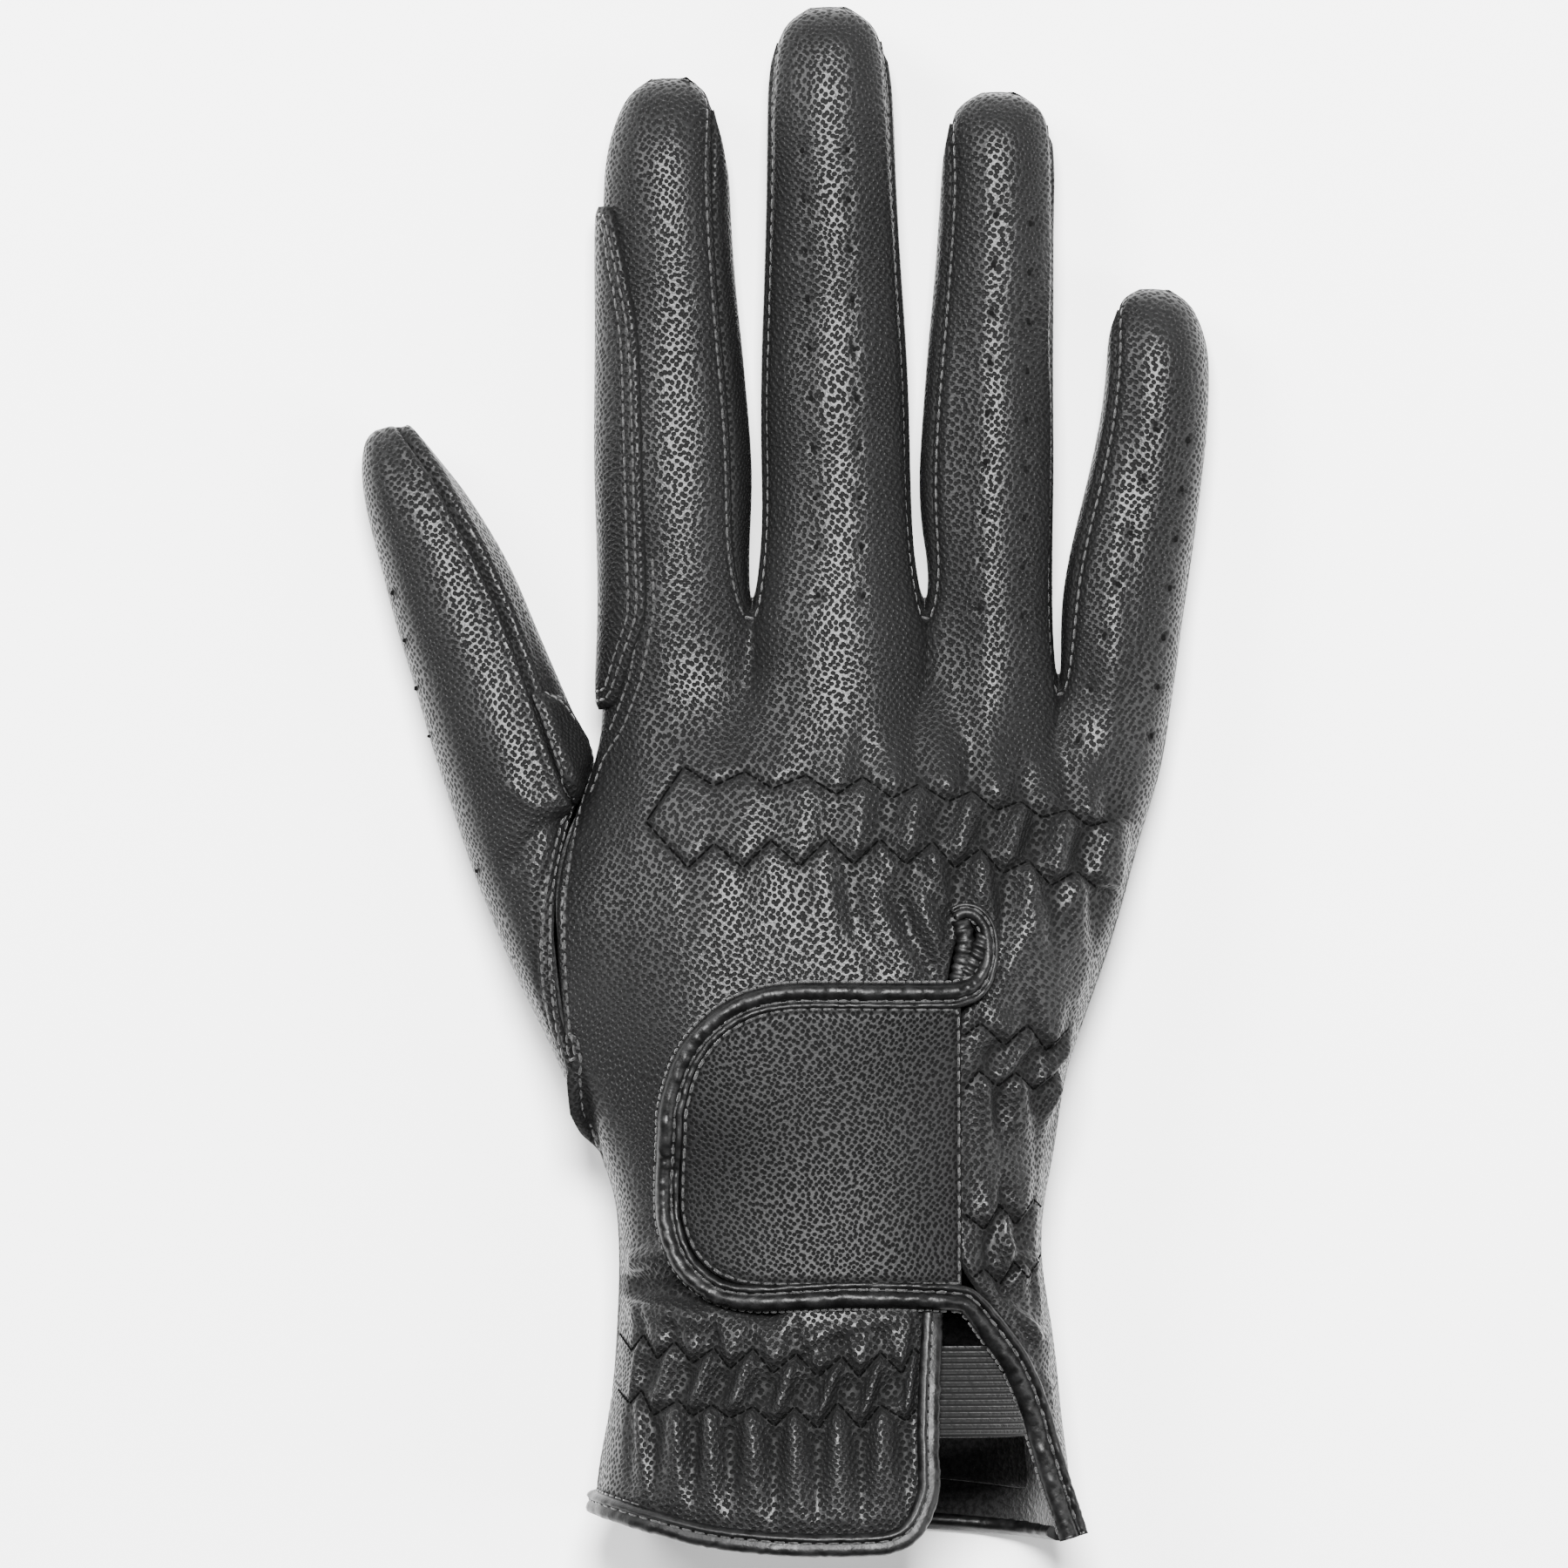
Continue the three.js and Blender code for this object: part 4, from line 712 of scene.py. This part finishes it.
# One stitch: a short rounded grain of thread
def grainShape(length, width, height, rings=5, sides=6):
    points = []
    for r in range(rings):
        turn = math.pi * (r + 0.5) / rings
        for s in range(sides):
            angle = 2 * math.pi * s / sides
            radius = math.sin(turn) ** 0.5
            points.append((-math.cos(turn) * length / 2, math.cos(angle) * radius * width / 2,
                           math.sin(angle) * radius * height / 2))
    faces = [(r * sides + s, r * sides + (s + 1) % sides, (r + 1) * sides + (s + 1) % sides,
              (r + 1) * sides + s) for r in range(rings - 1) for s in range(sides)]
    faces.append(tuple(range(sides))[::-1])
    faces.append(tuple((rings - 1) * sides + s for s in range(sides)))
    return np.array(points), faces


class Stitches:
    def __init__(self):
        self.points, self.faces, self.count = [], [], 0

    def lay(self, place, along, up, length, width=0.5, height=0.42, sink=0.05):
        shape, faces = grainShape(length, width, height)
        along = along / max(np.linalg.norm(along), 1e-9)
        up = up - along * (up @ along)
        up /= max(np.linalg.norm(up), 1e-9)
        side = np.cross(up, along)
        laid = place - up * sink + shape @ np.array([along, side, up])
        self.points.append(laid)
        self.faces += [tuple(self.count + v for v in face) for face in faces]
        self.count += len(laid)

    # Stitches of one pitch along a chain of places, each put down on a surface
    def run(self, chain, tree, pitch, share=0.8, **size):
        chain = np.asarray(chain, dtype=float)
        total = lengthsAlong(chain)
        for start in np.arange(pitch / 2, total[-1], pitch):
            ends = []
            for at in (start - pitch * share / 2, start + pitch * share / 2):
                place = np.array([np.interp(at, total, chain[:, k]) for k in range(3)])
                hit, normal = tree.find_nearest(place)[:2]
                if hit is None:
                    break
                ends.append((np.array(hit), np.array(normal)))
            if len(ends) < 2:
                continue
            (a, na), (b, nb) = ends
            self.lay((a + b) / 2, b - a, na + nb, np.linalg.norm(b - a), **size)

    def finish(self, name, material, slot):
        return addPiece(name, np.vstack(self.points), self.faces, material, slot)


# The parts of a loop that pass a test, as chains set in from the edge
def chainsBeside(edging, inset, keep):
    for ring, ways in zip(edging.loops, edging.ways):
        flags = keep(ring)
        if flags.all():
            yield np.vstack([ring + ways * inset, (ring + ways * inset)[:1]])
            continue
        first = int(np.argmin(flags))
        ring, ways, flags = (np.roll(a, -first, axis=0) for a in (ring, ways, flags))
        start = None
        for k, flag in enumerate(list(flags) + [False]):
            if flag and start is None:
                start = k
            elif not flag and start is not None:
                if k - start > 3:
                    yield ring[start:k] + ways[start:k] * inset
                start = None


boundSides = {"slit": (1040, 1240), "slitTop": 1040, "hem": 1735}


# The back's slit and hem are bound, not sewn; this holds everywhere else on its edge
def openSides(ring):
    x, y = ring[:, 0], ring[:, 1]
    left, right = (acrossAt(px) for px in boundSides["slit"])
    slit = (x > left) & (x < right) & (y < upAt(boundSides["slitTop"]))
    return ~(slit | (y < upAt(boundSides["hem"])))


# One between two heights in the photograph, fading in and out over the pairs given
def between(y, start, end):
    return ramp(y, upAt(start[0]), upAt(start[1])) * (1 - ramp(y, upAt(end[0]), upAt(end[1])))


backLook = {"thickness": 1.2, "levels": 3, "material": grain, "swell": (0.16, 22),
            "tabEnd": 1102, "tabSide": ((1525, 1480), (1190, 1140)), "rise": (1.7, 5.0),
            "lip": 1106, "lipSide": ((1515, 1495), (1150, 1125)), "pull": (1.4, 2.5),
            "tabBox": ((762, 1505), (1102, 1128)), "tabCorners": (19.0, 1.0), "fade": (-3.5, 0.5),
            "smoothBelow": 800, "fineAt": 0.65, "fineHole": 0.55, "flat": (0.25, 0.6),
            "edge": (0.5, 3.5), "foldShade": (0.5, 0.4, 1.3)}
hole = {"sink": 0.4, "breadth": 0.7, "shade": 0.6, "size": (0.95, 1.05, 0.12), "lift": 0.02}
# Two rows of air holes on each finger that has them: the row's two ends and its count
holeRows = [((922, 172), (940, 685), 10), ((972, 172), (990, 685), 10),
            ((1143, 247), (1125, 700), 9), ((1182, 256), (1172, 707), 9),
            ((1328, 492), (1238, 850), 7), ((1363, 505), (1321, 845), 7)]
perforations = []
for start, end, count in holeRows:
    a, b = np.array(spot(*start)), np.array(spot(*end))
    perforations += [a + (b - a) * k / (count - 1) for k in range(count)]


def holeDistance(points, places):
    return np.min([np.hypot(points[:, 0] - x, points[:, 1] - y) for x, y in places], axis=0)


# Beside the tab's sewn end the back stands up to the tab's height
def sewnRise(points):
    beside = points[:, 0] - acrossAt(backLook["tabEnd"])
    height, breadth = backLook["rise"]
    rise = height * bell(np.maximum(beside, 0), breadth)
    return np.where(beside > -1.0, rise * between(points[:, 1], *backLook["tabSide"]), 0.0)


# The slit's right lip goes in under the tab's sewn end
def closeSlit(points):
    beside = points[:, 0] - acrossAt(backLook["lip"])
    far, breadth = backLook["pull"]
    pull = np.where(beside > -0.5, far * bell(np.maximum(beside, 0), breadth), 0)
    points[:, 0] -= pull * between(points[:, 1], *backLook["lipSide"])
    return points


# One under the tab, fading to nothing at its rounded outline
def underTab(points):
    low, high = (np.array(spot(*corner)) for corner in backLook["tabBox"])
    middle, half = (low + high) / 2, (high - low) / 2
    radius = np.where(points[:, 0] < middle[0], *backLook["tabCorners"])
    q = np.abs(points[:, :2] - middle) - half + radius[:, None]
    outside = np.linalg.norm(np.maximum(q, 0), axis=1) + np.minimum(q.max(axis=1), 0) - radius
    return 1 - ramp(outside, *backLook["fade"])


def backShape(points, normals, distance, length):
    sewn = np.where(openSides(points), 1.0, 0.0)
    total, shade = seamOf(distance, length, sewn=sewn)
    flat = ramp(normals[:, 2], *backLook["flat"])
    relief = foldsOf(points, folds)
    # Painted shade in the valleys of the folds, then in those of the gathered bands on
    # upward-facing leather
    dark, shallow, deep = backLook["foldShade"]
    shade = shade + dark * ramp(-relief, shallow, deep)
    for band in bands.values():
        height, dark = puffOf(band, points)
        relief = relief + height
        shade = shade + dark * flat
    total += relief * flat * (1 - underTab(points)) * ramp(distance, *backLook["edge"])
    total += sewnRise(points) * flat
    holes = holeDistance(points, perforations)
    total -= hole["sink"] * bell(holes, hole["breadth"])
    # Painted shade round each air hole
    shade = shade + bell(holes, hole["shade"])
    return total + swellOf(points, distance, *backLook["swell"]), shade


# Only the leather beside the gathering rows and round the air holes is made finer
def nearRows(points):
    found = holeDistance(points, perforations) < backLook["fineHole"]
    for band in bands.values():
        for row in ("top", "bottom"):
            found |= chainDistance(points, spots(band[row])) < backLook["fineAt"]
    return found


back = panelPiece("back_leather", "back_panel", backLook, backShape,
                  calm=lambda place: place[1] < upAt(backLook["smoothBelow"]), fine=nearRows,
                  adjust=closeSlit)
print("back made")


def plainShape(look):
    def shape(points, normals, distance, length):
        total, shade = seamOf(distance, length, look["rows"])
        return total + swellOf(points, distance, *look["swell"]), shade
    return shape


palmLook = {"thickness": 1.2, "levels": 2, "material": grain, "rows": (seam["inset"],),
            "swell": (0.05, 20)}
palm = panelPiece("palm_leather", "palm_panel", palmLook, plainShape(palmLook))

thumbLook = {"thickness": 1.2, "levels": 3, "material": grain, "rows": (1.3, 3.2),
             "swell": (0.12, 20), "ridge": (0.75, 1.1, 1.0), "groove": (0.9, 0.5),
             "holeSink": 0.3, "seamShade": 0.35, "flat": (0.05, 0.4), "edge": (0.3, 2),
             "fineAt": 3, "fineAbove": 5, "sewnAbove": 6}
thumbSeam = spots([(452, 484), (497, 545), (540, 625), (575, 700), (608, 790), (632, 860),
                   (657, 928)])
thumbHoles = spots([(451, 680), (465, 735), (478, 790), (493, 845), (507, 900), (522, 950),
                    (548, 1000), (565, 1057)])
thumbFolds = [([(588, 990), (622, 952), (660, 936)], -0.7, 1.5),
              ([(585, 905), (615, 925), (655, 925)], 0.5, 1.6)]


# The thumb's two halves meet in a sunken seam down its middle, with a ridge on both sides
def thumbShape(points, normals, distance, length):
    total, shade = seamOf(distance, length, thumbLook["rows"])
    near = chainDistance(points, thumbSeam)
    holes = holeDistance(points, thumbHoles)
    flat = ramp(normals[:, 2], *thumbLook["flat"])
    high, beside, broad = thumbLook["ridge"]
    deep, narrow = thumbLook["groove"]
    relief = high * bell(near - beside, broad) - deep * bell(near, narrow)
    relief = relief - thumbLook["holeSink"] * bell(holes, hole["breadth"])
    relief = relief + foldsOf(points, thumbFolds)
    # Painted shade along the sunken seam and round the air holes, on upward-facing leather
    shade = shade + (bell(near, thumbLook["seamShade"]) + bell(holes, hole["shade"])) * flat
    total = total + relief * flat * ramp(distance, *thumbLook["edge"])
    return total + swellOf(points, distance, *thumbLook["swell"]), shade


def nearThumbSeam(points):
    near = chainDistance(points, thumbSeam) < thumbLook["fineAt"]
    return near & (points[:, 2] > thumbLook["fineAbove"])


thumb = panelPiece("thumb_leather", "thumb_panel", thumbLook, thumbShape, fine=nearThumbSeam)

wallLook = {"thickness": 1.2, "levels": 2, "material": grain, "rows": (), "swell": (0.05, 20)}
for node in ("fourchette_index_middle", "fourchette_middle_ring", "fourchette_ring_pinky"):
    panelPiece(f"{node}_leather", node, wallLook, plainShape(wallLook), convex=False, inner=False)

reinLook = {"thickness": 1.0, "levels": 3, "material": grain, "rows": (1.3, 2.8),
            "swell": (0.12, 20), "pitch": 1.8, "sewnAbove": 3, "endRows": (0, 14),
            "end": [(735, 640), (737, 703), (722, 780), (700, 838), (678, 872), (662, 915)]}
rein = panelPiece("rein_patch_leather", "rein_patch", reinLook, plainShape(reinLook), inner=False)

tabLook = {"thickness": 2.0, "levels": 4, "material": tabGrain, "rows": (0.9,),
           "swell": (0.05, 20), "stitchInset": 0.5, "sewnAbove": 0}
tab = panelPiece("tab_leather", "wrist_tab", tabLook, plainShape(tabLook), inner=False)


def smoothed(values, window):
    pad = window // 2
    padded = np.vstack([values[:1]] * pad + [values] + [values[-1:]] * pad)
    return np.stack([np.convolve(padded[:, k], np.ones(window) / window, "valid")
                     for k in range(values.shape[1])], axis=1)


# A chain of places as evenly spaced ones on a smooth line
def evenChain(chain, step, window=9, finer=4):
    chain = np.asarray(chain, dtype=float)
    knots = lengthsAlong(chain)
    at = np.linspace(0, knots[-1], max(int(knots[-1] / step), 4) * finer)
    line = np.stack([np.interp(at, knots, chain[:, k]) for k in range(chain.shape[1])], axis=1)
    smooth = smoothed(line, window)
    smooth[0], smooth[-1] = line[0], line[-1]
    return smooth[::finer]


webLook = {"left": [(605, 790), (617, 820), (628, 855), (640, 888), (659, 932)],
           "right": [(644, 796), (662, 826), (678, 852), (689, 872), (684, 895), (664, 930)],
           "lift": 0.9, "sink": 0.15, "rim": 6, "rows": 28, "columns": 18, "pitch": 1.6,
           "lowest": 4, "beside": 12,  # past the thumb's edge it takes the side at this height
           "sewn": ([(612, 797), (623, 822), (634, 855), (645, 885), (659, 920)],
                    [(612, 797), (628, 796), (645, 806), (662, 830)])}


# A patch laid over the leather between two chains of places, its rim reaching down into it
def laidPatch(name, node, look, tree):
    rows, columns = look["rows"], look["columns"]
    left, right = (evenChain(spots(look[side]), 0.2) for side in ("left", "right"))
    points = []
    for r in range(rows + 1):
        a, b = (chain[round(r / rows * (len(chain) - 1))] for chain in (left, right))
        for c in range(columns + 1):
            x, y = a + (b - a) * (c / columns)
            hit, normal = fromAbove(tree, x, y)
            if hit is None or hit.z < look["lowest"]:
                hit, normal = tree.find_nearest(Vector((x, y, look["beside"])))[:2]
            edge = min(1.0, min(r, rows - r) / rows * look["rim"],
                       min(c, columns - c) / columns * look["rim"])
            height = look["lift"] * (edge * (2 - edge)) - look["sink"]
            points.append(np.array(hit) + np.array(normal) * height)
    wide = columns + 1
    faces = [(r * wide + c, (r + 1) * wide + c, (r + 1) * wide + c + 1, r * wide + c + 1)
             for r in range(rows) for c in range(columns)]
    addPiece(name, points, faces, grain, "grain_leather", (node,))
    return BVHTree.FromPolygons([tuple(point) for point in points], faces)


webTree = laidPatch("web_patch_leather", "thumb_web_patch", webLook, thumb["tree"])
print("panels made")


# Puts a chain in plan down on a surface; over an opening it takes the nearest height
def putDown(chain, tree, height, drop=6):
    placed = []
    for x, y in chain:
        hit = fromAbove(tree, x, y)[0]
        if hit is None or hit.z < height - drop:
            hit = tree.find_nearest(Vector((x, y, height)))[0]
        height = hit.z
        placed.append((x, y, height))
    return np.array(placed)


# The directions along a line, to its left and away from the leather
def waysAlong(line, ups):
    tangent = unit(np.gradient(line, axis=0))
    side = unit(np.cross(ups, tangent))
    return tangent, side, np.cross(tangent, side)


# A profile of (across, up) swept along a line; across is to the line's left seen from above
def sweep(line, ups, profile, widths, heights, wrinkle=0.03):
    _, side, up = waysAlong(line, ups)
    profile = np.asarray(profile, dtype=float)
    count, around = len(line), len(profile)
    shake = rng.normal(size=(count, around))
    for _ in range(2):
        shake = (shake + np.roll(shake, 1, 1) + np.roll(shake, -1, 1)) / 1.7
    wide = profile[None, :, 0] * widths[:, None]
    high = profile[None, :, 1] * heights[:, None] * (1 + wrinkle * shake)
    points = (line[:, None, :] + side[:, None, :] * wide[..., None]
              + up[:, None, :] * high[..., None])
    faces = [(r * around + c, r * around + (c + 1) % around,
              (r + 1) * around + (c + 1) % around, (r + 1) * around + c)
             for r in range(count - 1) for c in range(around)]
    faces.append(tuple(range(around)))
    faces.append(tuple((count - 1) * around + c for c in range(around))[::-1])
    return points.reshape(-1, 3), faces


# The roll that binds the tab, from the keyhole round the tab and down the slit's right lip: a
# fat outer roll, a stitched groove and a thin inner ridge
rollLook = {
    "profile": [(-1.75, 0.6), (-1.74, 1.4), (-1.5, 2.2), (-1.1, 2.75), (-0.6, 3.02), (-0.1, 3.05),
                (0.35, 2.85), (0.72, 2.45), (0.95, 2.1), (1.12, 2.05), (1.3, 2.3), (1.55, 2.62),
                (1.85, 2.66), (2.15, 2.5), (2.35, 2.1), (2.38, 1.2), (1.4, 0.2), (-1.2, 0.2)],
    "keyhole": [(1096, 1052), (1104, 1046), (1118, 1047), (1131, 1060), (1136, 1080), (1135, 1102),
                (1126, 1124), (1112, 1137)],
    "lip": [(1104, 1490), (1118, 1502), (1134, 1522), (1150, 1543), (1164, 1566), (1176, 1594),
            (1186, 1622), (1194, 1652), (1202, 1680), (1210, 1710), (1220, 1742), (1229, 1772)],
    "tabEnd": 1093, "inset": 2.0, "lower": 2.3, "step": 0.6, "endStep": 0.7, "lean": 0.6,
    "height": 38, "turn": 31,  # at the keyhole; the places over which its turning is evened
    "keyholeSize": (0.62, 0.5), "grow": (0.6, 1.15, 1.1), "lipWider": (0.12, 8),
    "lipLower": (0.2, 10),
    "groove": (1.06, 2.12, 2.1), "edge": (-1.85, 1.1, 1.3),
}
tabEdge = tab["edging"]
bound = tabEdge.loops[0][:, 0] < acrossAt(rollLook["tabEnd"])
first = -int(np.argmin(bound))
ring, ways, bound = (np.roll(a, first, axis=0) for a in (tabEdge.loops[0], tabEdge.ways[0], bound))
tabLine = (ring - ways * rollLook["inset"])[bound]
if tabLine[0, 1] < tabLine[-1, 1]:
    tabLine = tabLine[::-1]
tabLine = tabLine - np.array([0, 0, rollLook["lower"]])
step, endStep = rollLook["step"], rollLook["endStep"]
keyholeLine = evenChain(spots(rollLook["keyhole"]), endStep)
ringLine = putDown(keyholeLine, back["tree"], rollLook["height"])
lipLine = putDown(evenChain(spots(rollLook["lip"]), endStep), back["tree"], tabLine[-1, 2])
rollLine = evenChain(np.vstack([ringLine, tabLine, lipLine]), step)
rollLine[:, 2:] = smoothed(rollLine[:, 2:], 9)
lean = Vector((0, 0, rollLook["lean"]))
rollUps = [tuple((back["tree"].find_nearest(Vector(place))[1] + lean).normalized())
           for place in rollLine]
rollUps = smoothed(np.array(rollUps), rollLook["turn"])
travel = np.arange(len(rollLine)) * step
ringEnd, lipStart = len(ringLine) * endStep, travel[-1] - len(lipLine) * endStep
thin, low = rollLook["keyholeSize"]
growStart, wideAt, highAt = (ringEnd * share for share in rollLook["grow"])
rollWidth = thin + (1 - thin) * ramp(travel, growStart, wideAt)
rollHeight = low + (1 - low) * ramp(travel, growStart, highAt)
wider, over = rollLook["lipWider"]
rollWidth = rollWidth * (1 + wider * ramp(travel, lipStart, lipStart + over))
lower, over = rollLook["lipLower"]
rollHeight = rollHeight * (1 - lower * ramp(travel, lipStart, lipStart + over))
roll = (rollLine, rollUps, rollWidth, rollHeight)
points, faces = sweep(rollLine, rollUps, rollLook["profile"], rollWidth, rollHeight)
addPiece("tab_binding_leather", points, faces, binding, "smooth_leather", ("tab_binding",))

# The wrinkled lips of the slit where they show inside the keyhole
lipLook = {
    "inner": [(1103, 1056), (1108, 1080), (1104, 1106), (1097, 1136)],
    "outer": [(1131, 1074), (1122, 1096), (1110, 1116), (1099, 1138)],
    "half": (1.5, 1.3), "sides": 13, "step": 0.35, "lift": 0.1, "waves": (0.12, 1.5),
    "wrinkle": 0.1,
}
lipProfile = [(math.cos(turn) * lipLook["half"][0], math.sin(turn) * lipLook["half"][1])
              for turn in np.linspace(0, 2 * math.pi, lipLook["sides"] + 1)[:-1]]
for side in ("inner", "outer"):
    plan = evenChain(spots(lipLook[side]), lipLook["step"])
    heights = np.interp(plan[:, 1], (ringLine[:, 1].min(), ringLine[:, 1].max()),
                        (ringLine[-1, 2], ringLine[0, 2])) + lipLook["lift"]
    ups = np.tile((0.0, 0.0, 1.0), (len(plan), 1))
    depth, pace = lipLook["waves"]
    widths = 1 + depth * np.sin(np.arange(len(plan)) * pace)
    points, faces = sweep(np.column_stack([plan, heights]), ups, lipProfile, widths, widths,
                          lipLook["wrinkle"])
    addPiece(f"keyhole_lip_{side}", points, faces, binding, "smooth_leather")

# The cuff's roll: round the palm's hem, then the back's, and up the slit's left lip
cuffLook = {
    "profile": [(-2.3, -0.9), (-2.45, -0.1), (-2.4, 0.7), (-2.1, 1.4), (-1.6, 1.85), (-1.0, 1.9),
                (-0.4, 1.55), (-0.05, 1.1), (0.2, 0.9), (0.5, 1.15), (0.8, 1.25), (1.1, 1.05),
                (1.3, 0.5), (1.3, -0.2), (0.6, -0.7), (-0.2, -1.4), (-1.2, -1.9), (-2.1, -1.6)],
    "palm": ((*spot(1226, 1752), 14), (*spot(684, 1738), 14)),
    "back": ((*spot(684, 1738), 18), (*spot(1084, 1500), 38)),
    "step": 0.7, "groove": (0.16, 0.98, 2.1),
}


# The part of a panel's edge that runs from near one place to near another
def edgeRun(panel, places):
    places = [np.array(place) for place in places]
    best = None
    for ring in panel["edging"].loops:
        ends = [int(np.argmin(np.linalg.norm(ring - place, axis=1))) for place in places]
        gap = sum(np.linalg.norm(ring[k] - place) for k, place in zip(ends, places))
        if best is None or gap < best[0]:
            best = (gap, ring, ends)
    _, ring, (a, b) = best
    return np.roll(ring, -a, axis=0)[:(b - a) % len(ring) + 1]


hem = np.vstack([edgeRun(palm, cuffLook["palm"]), edgeRun(back, cuffLook["back"])])
cuffLine = evenChain(hem, cuffLook["step"])
cuffUps = []
for place in cuffLine:
    found = [panel["tree"].find_nearest(Vector(place)) for panel in (palm, back)]
    cuffUps.append(tuple(min(found, key=lambda hit: hit[3])[1]))
cuffUps = unit(smoothed(np.array(cuffUps), 15))
cuffLine = smoothed(cuffLine, 5)
cuffScale = np.ones(len(cuffLine))
cuff = (cuffLine, cuffUps, cuffScale, cuffScale)
points, faces = sweep(cuffLine, cuffUps, cuffLook["profile"], cuffScale, cuffScale)
addPiece("cuff_binding_leather", points, faces, binding, "smooth_leather", ("cuff_binding",))


def clothPiece(name, node, material, slot):
    rough = solidOf(node)
    quadsOf(rough)
    return addPiece(name, *subdivided(rough, 2), material, slot, (node,))


elastic = clothPiece("slit_elastic_cloth", "slit_elastic", elasticCloth, "elastic")
lining = clothPiece("cuff_lining_cloth", "cuff_lining", liningCloth, "lining")
print("bindings and cloth made")

sewing = Stitches()


def sewBeside(panel, insets, keep):
    for inset in insets:
        for chain in chainsBeside(panel["edging"], inset, keep):
            sewing.run(chain, panel["tree"], seam["pitch"])


def sewOver(chain, tree, pitch):
    hits = [fromAbove(tree, x, y)[0] for x, y in spots(chain)]
    sewing.run([tuple(hit) for hit in hits if hit is not None], tree, pitch)


# Holds where an edge lies higher than this
def above(height):
    return lambda ring: ring[:, 2] > height


sewBeside(back, (seam["inset"],), openSides)
sewBeside(rein, reinLook["rows"], above(reinLook["sewnAbove"]))
for chain in webLook["sewn"]:
    sewOver(chain, webTree, webLook["pitch"])
for shift in reinLook["endRows"]:
    sewOver([(px + shift, py) for px, py in reinLook["end"]], back["tree"], reinLook["pitch"])
sewBeside(thumb, thumbLook["rows"], above(thumbLook["sewnAbove"]))
sewBeside(tab, (tabLook["stitchInset"],), above(tabLook["sewnAbove"]))
sewing.finish("seam_stitches", seamThread, "grain_leather")


# Stitches beside the middle of a swept roll: how far across and up, and their pitch
def rollSewing(name, swept, across, up, pitch):
    line, ups, widths, heights = swept
    tangent, side, over = waysAlong(line, ups)
    places = line + side * (across * widths)[:, None] + over * (up * heights)[:, None]
    total = lengthsAlong(places)
    laid = Stitches()
    for at in np.arange(pitch, total[-1] - pitch, pitch):
        k = int(np.searchsorted(total, at))
        laid.lay(places[k], tangent[k], over[k], pitch * 0.78, height=0.45, sink=0.0)
    laid.finish(name, seamThread, "smooth_leather")


rollSewing("tab_binding_stitches", roll, *rollLook["groove"])
rollSewing("tab_edge_stitches", roll, *rollLook["edge"])
rollSewing("cuff_binding_stitches", cuff, *cuffLook["groove"])

# A dark disc over each air hole stands in for the opening and the painted shade inside it
holes = Stitches()
for places, tree in ((perforations, back["tree"]), (thumbHoles, thumb["tree"])):
    for x, y in places:
        hit, normal = fromAbove(tree, x, y)
        if hit is not None:
            holes.lay(np.array(hit), np.array((1.0, 0.0, 0.0)), np.array(normal), *hole["size"],
                      -hole["lift"])
holes.finish("air_holes", holeShadeCloth, "lining")

stitchesOnSide = 3.02  # on each side of a zigzag's peaks
zigzagSize = {"share": 0.86, "width": 0.42, "height": 0.36, "sink": -0.02}
zigzag = Stitches()
for band in bands.values():
    for row in ("top", "bottom"):
        corners = spots(band[row])
        for a, b in zip(corners[:-1], corners[1:]):
            hits = [fromAbove(back["tree"], *(a + (b - a) * share))[0]
                    for share in np.linspace(0, 1, 7)]
            chain = [np.array(hit) for hit in hits if hit is not None]
            if len(chain) > 2:
                pitch = np.hypot(*(b - a)) / stitchesOnSide
                zigzag.run(chain, back["tree"], pitch, **zigzagSize)
zigzag.finish("gather_stitches", thread, "grain_leather")
print("sewing made")

studio = {"floorSize": 6, "floorGrey": 0.95, "floorRoughness": 0.8, "fill": 0.35}
bpy.ops.mesh.primitive_plane_add(size=studio["floorSize"], location=(0, 0, 0))
floor = bpy.context.object
floor.name = "floor"
floorMaterial, _, floorShader = newMaterial("floor")
fill(floorShader, {"Base Color": grey(studio["floorGrey"]),
                   "Roughness": studio["floorRoughness"]})
floor.data.materials.append(floorMaterial)

# Each light has its place, its width and depth in metres, and its power
lights = {
    "top": ((0.0, 0.48, 1.45), (0.42, 0.42), 120),
    "key": ((-0.8, 0.6, 0.9), (0.5, 0.5), 22),
    "right": ((0.9, -0.2, 0.6), (0.3, 0.9), 12),
}
for name, (place, size, power) in lights.items():
    data = bpy.data.lights.new(name, "AREA")
    data.shape = "RECTANGLE"
    data.size, data.size_y = size
    data.energy = power
    light = bpy.data.objects.new(name, data)
    light.location = place
    light.rotation_euler = (-Vector(place)).to_track_quat("-Z", "Y").to_euler()
    bpy.context.scene.collection.objects.link(light)

world = bpy.data.worlds.new("studio")
world.use_nodes = True
fill(world.node_tree.nodes["Background"], {"Color": grey(1), "Strength": studio["fill"]})
bpy.context.scene.world = world

# The camera looks straight down; the lens puts the photograph's frame at the focus height
view = {"height": 5.0, "sensor": 36, "focus": 0.022}
cameraData = bpy.data.cameras.new("camera")
cameraData.sensor_width = view["sensor"]
frameWidth = photo["size"] * pixel * metre
cameraData.lens = view["sensor"] * (view["height"] - view["focus"]) / frameWidth
cameraData.clip_end = 50
camera = bpy.data.objects.new("camera", cameraData)
x, y = spot(photo["size"] / 2, photo["size"] / 2)
camera.location = (x * metre, y * metre, view["height"])
bpy.context.scene.collection.objects.link(camera)
bpy.context.scene.camera = camera
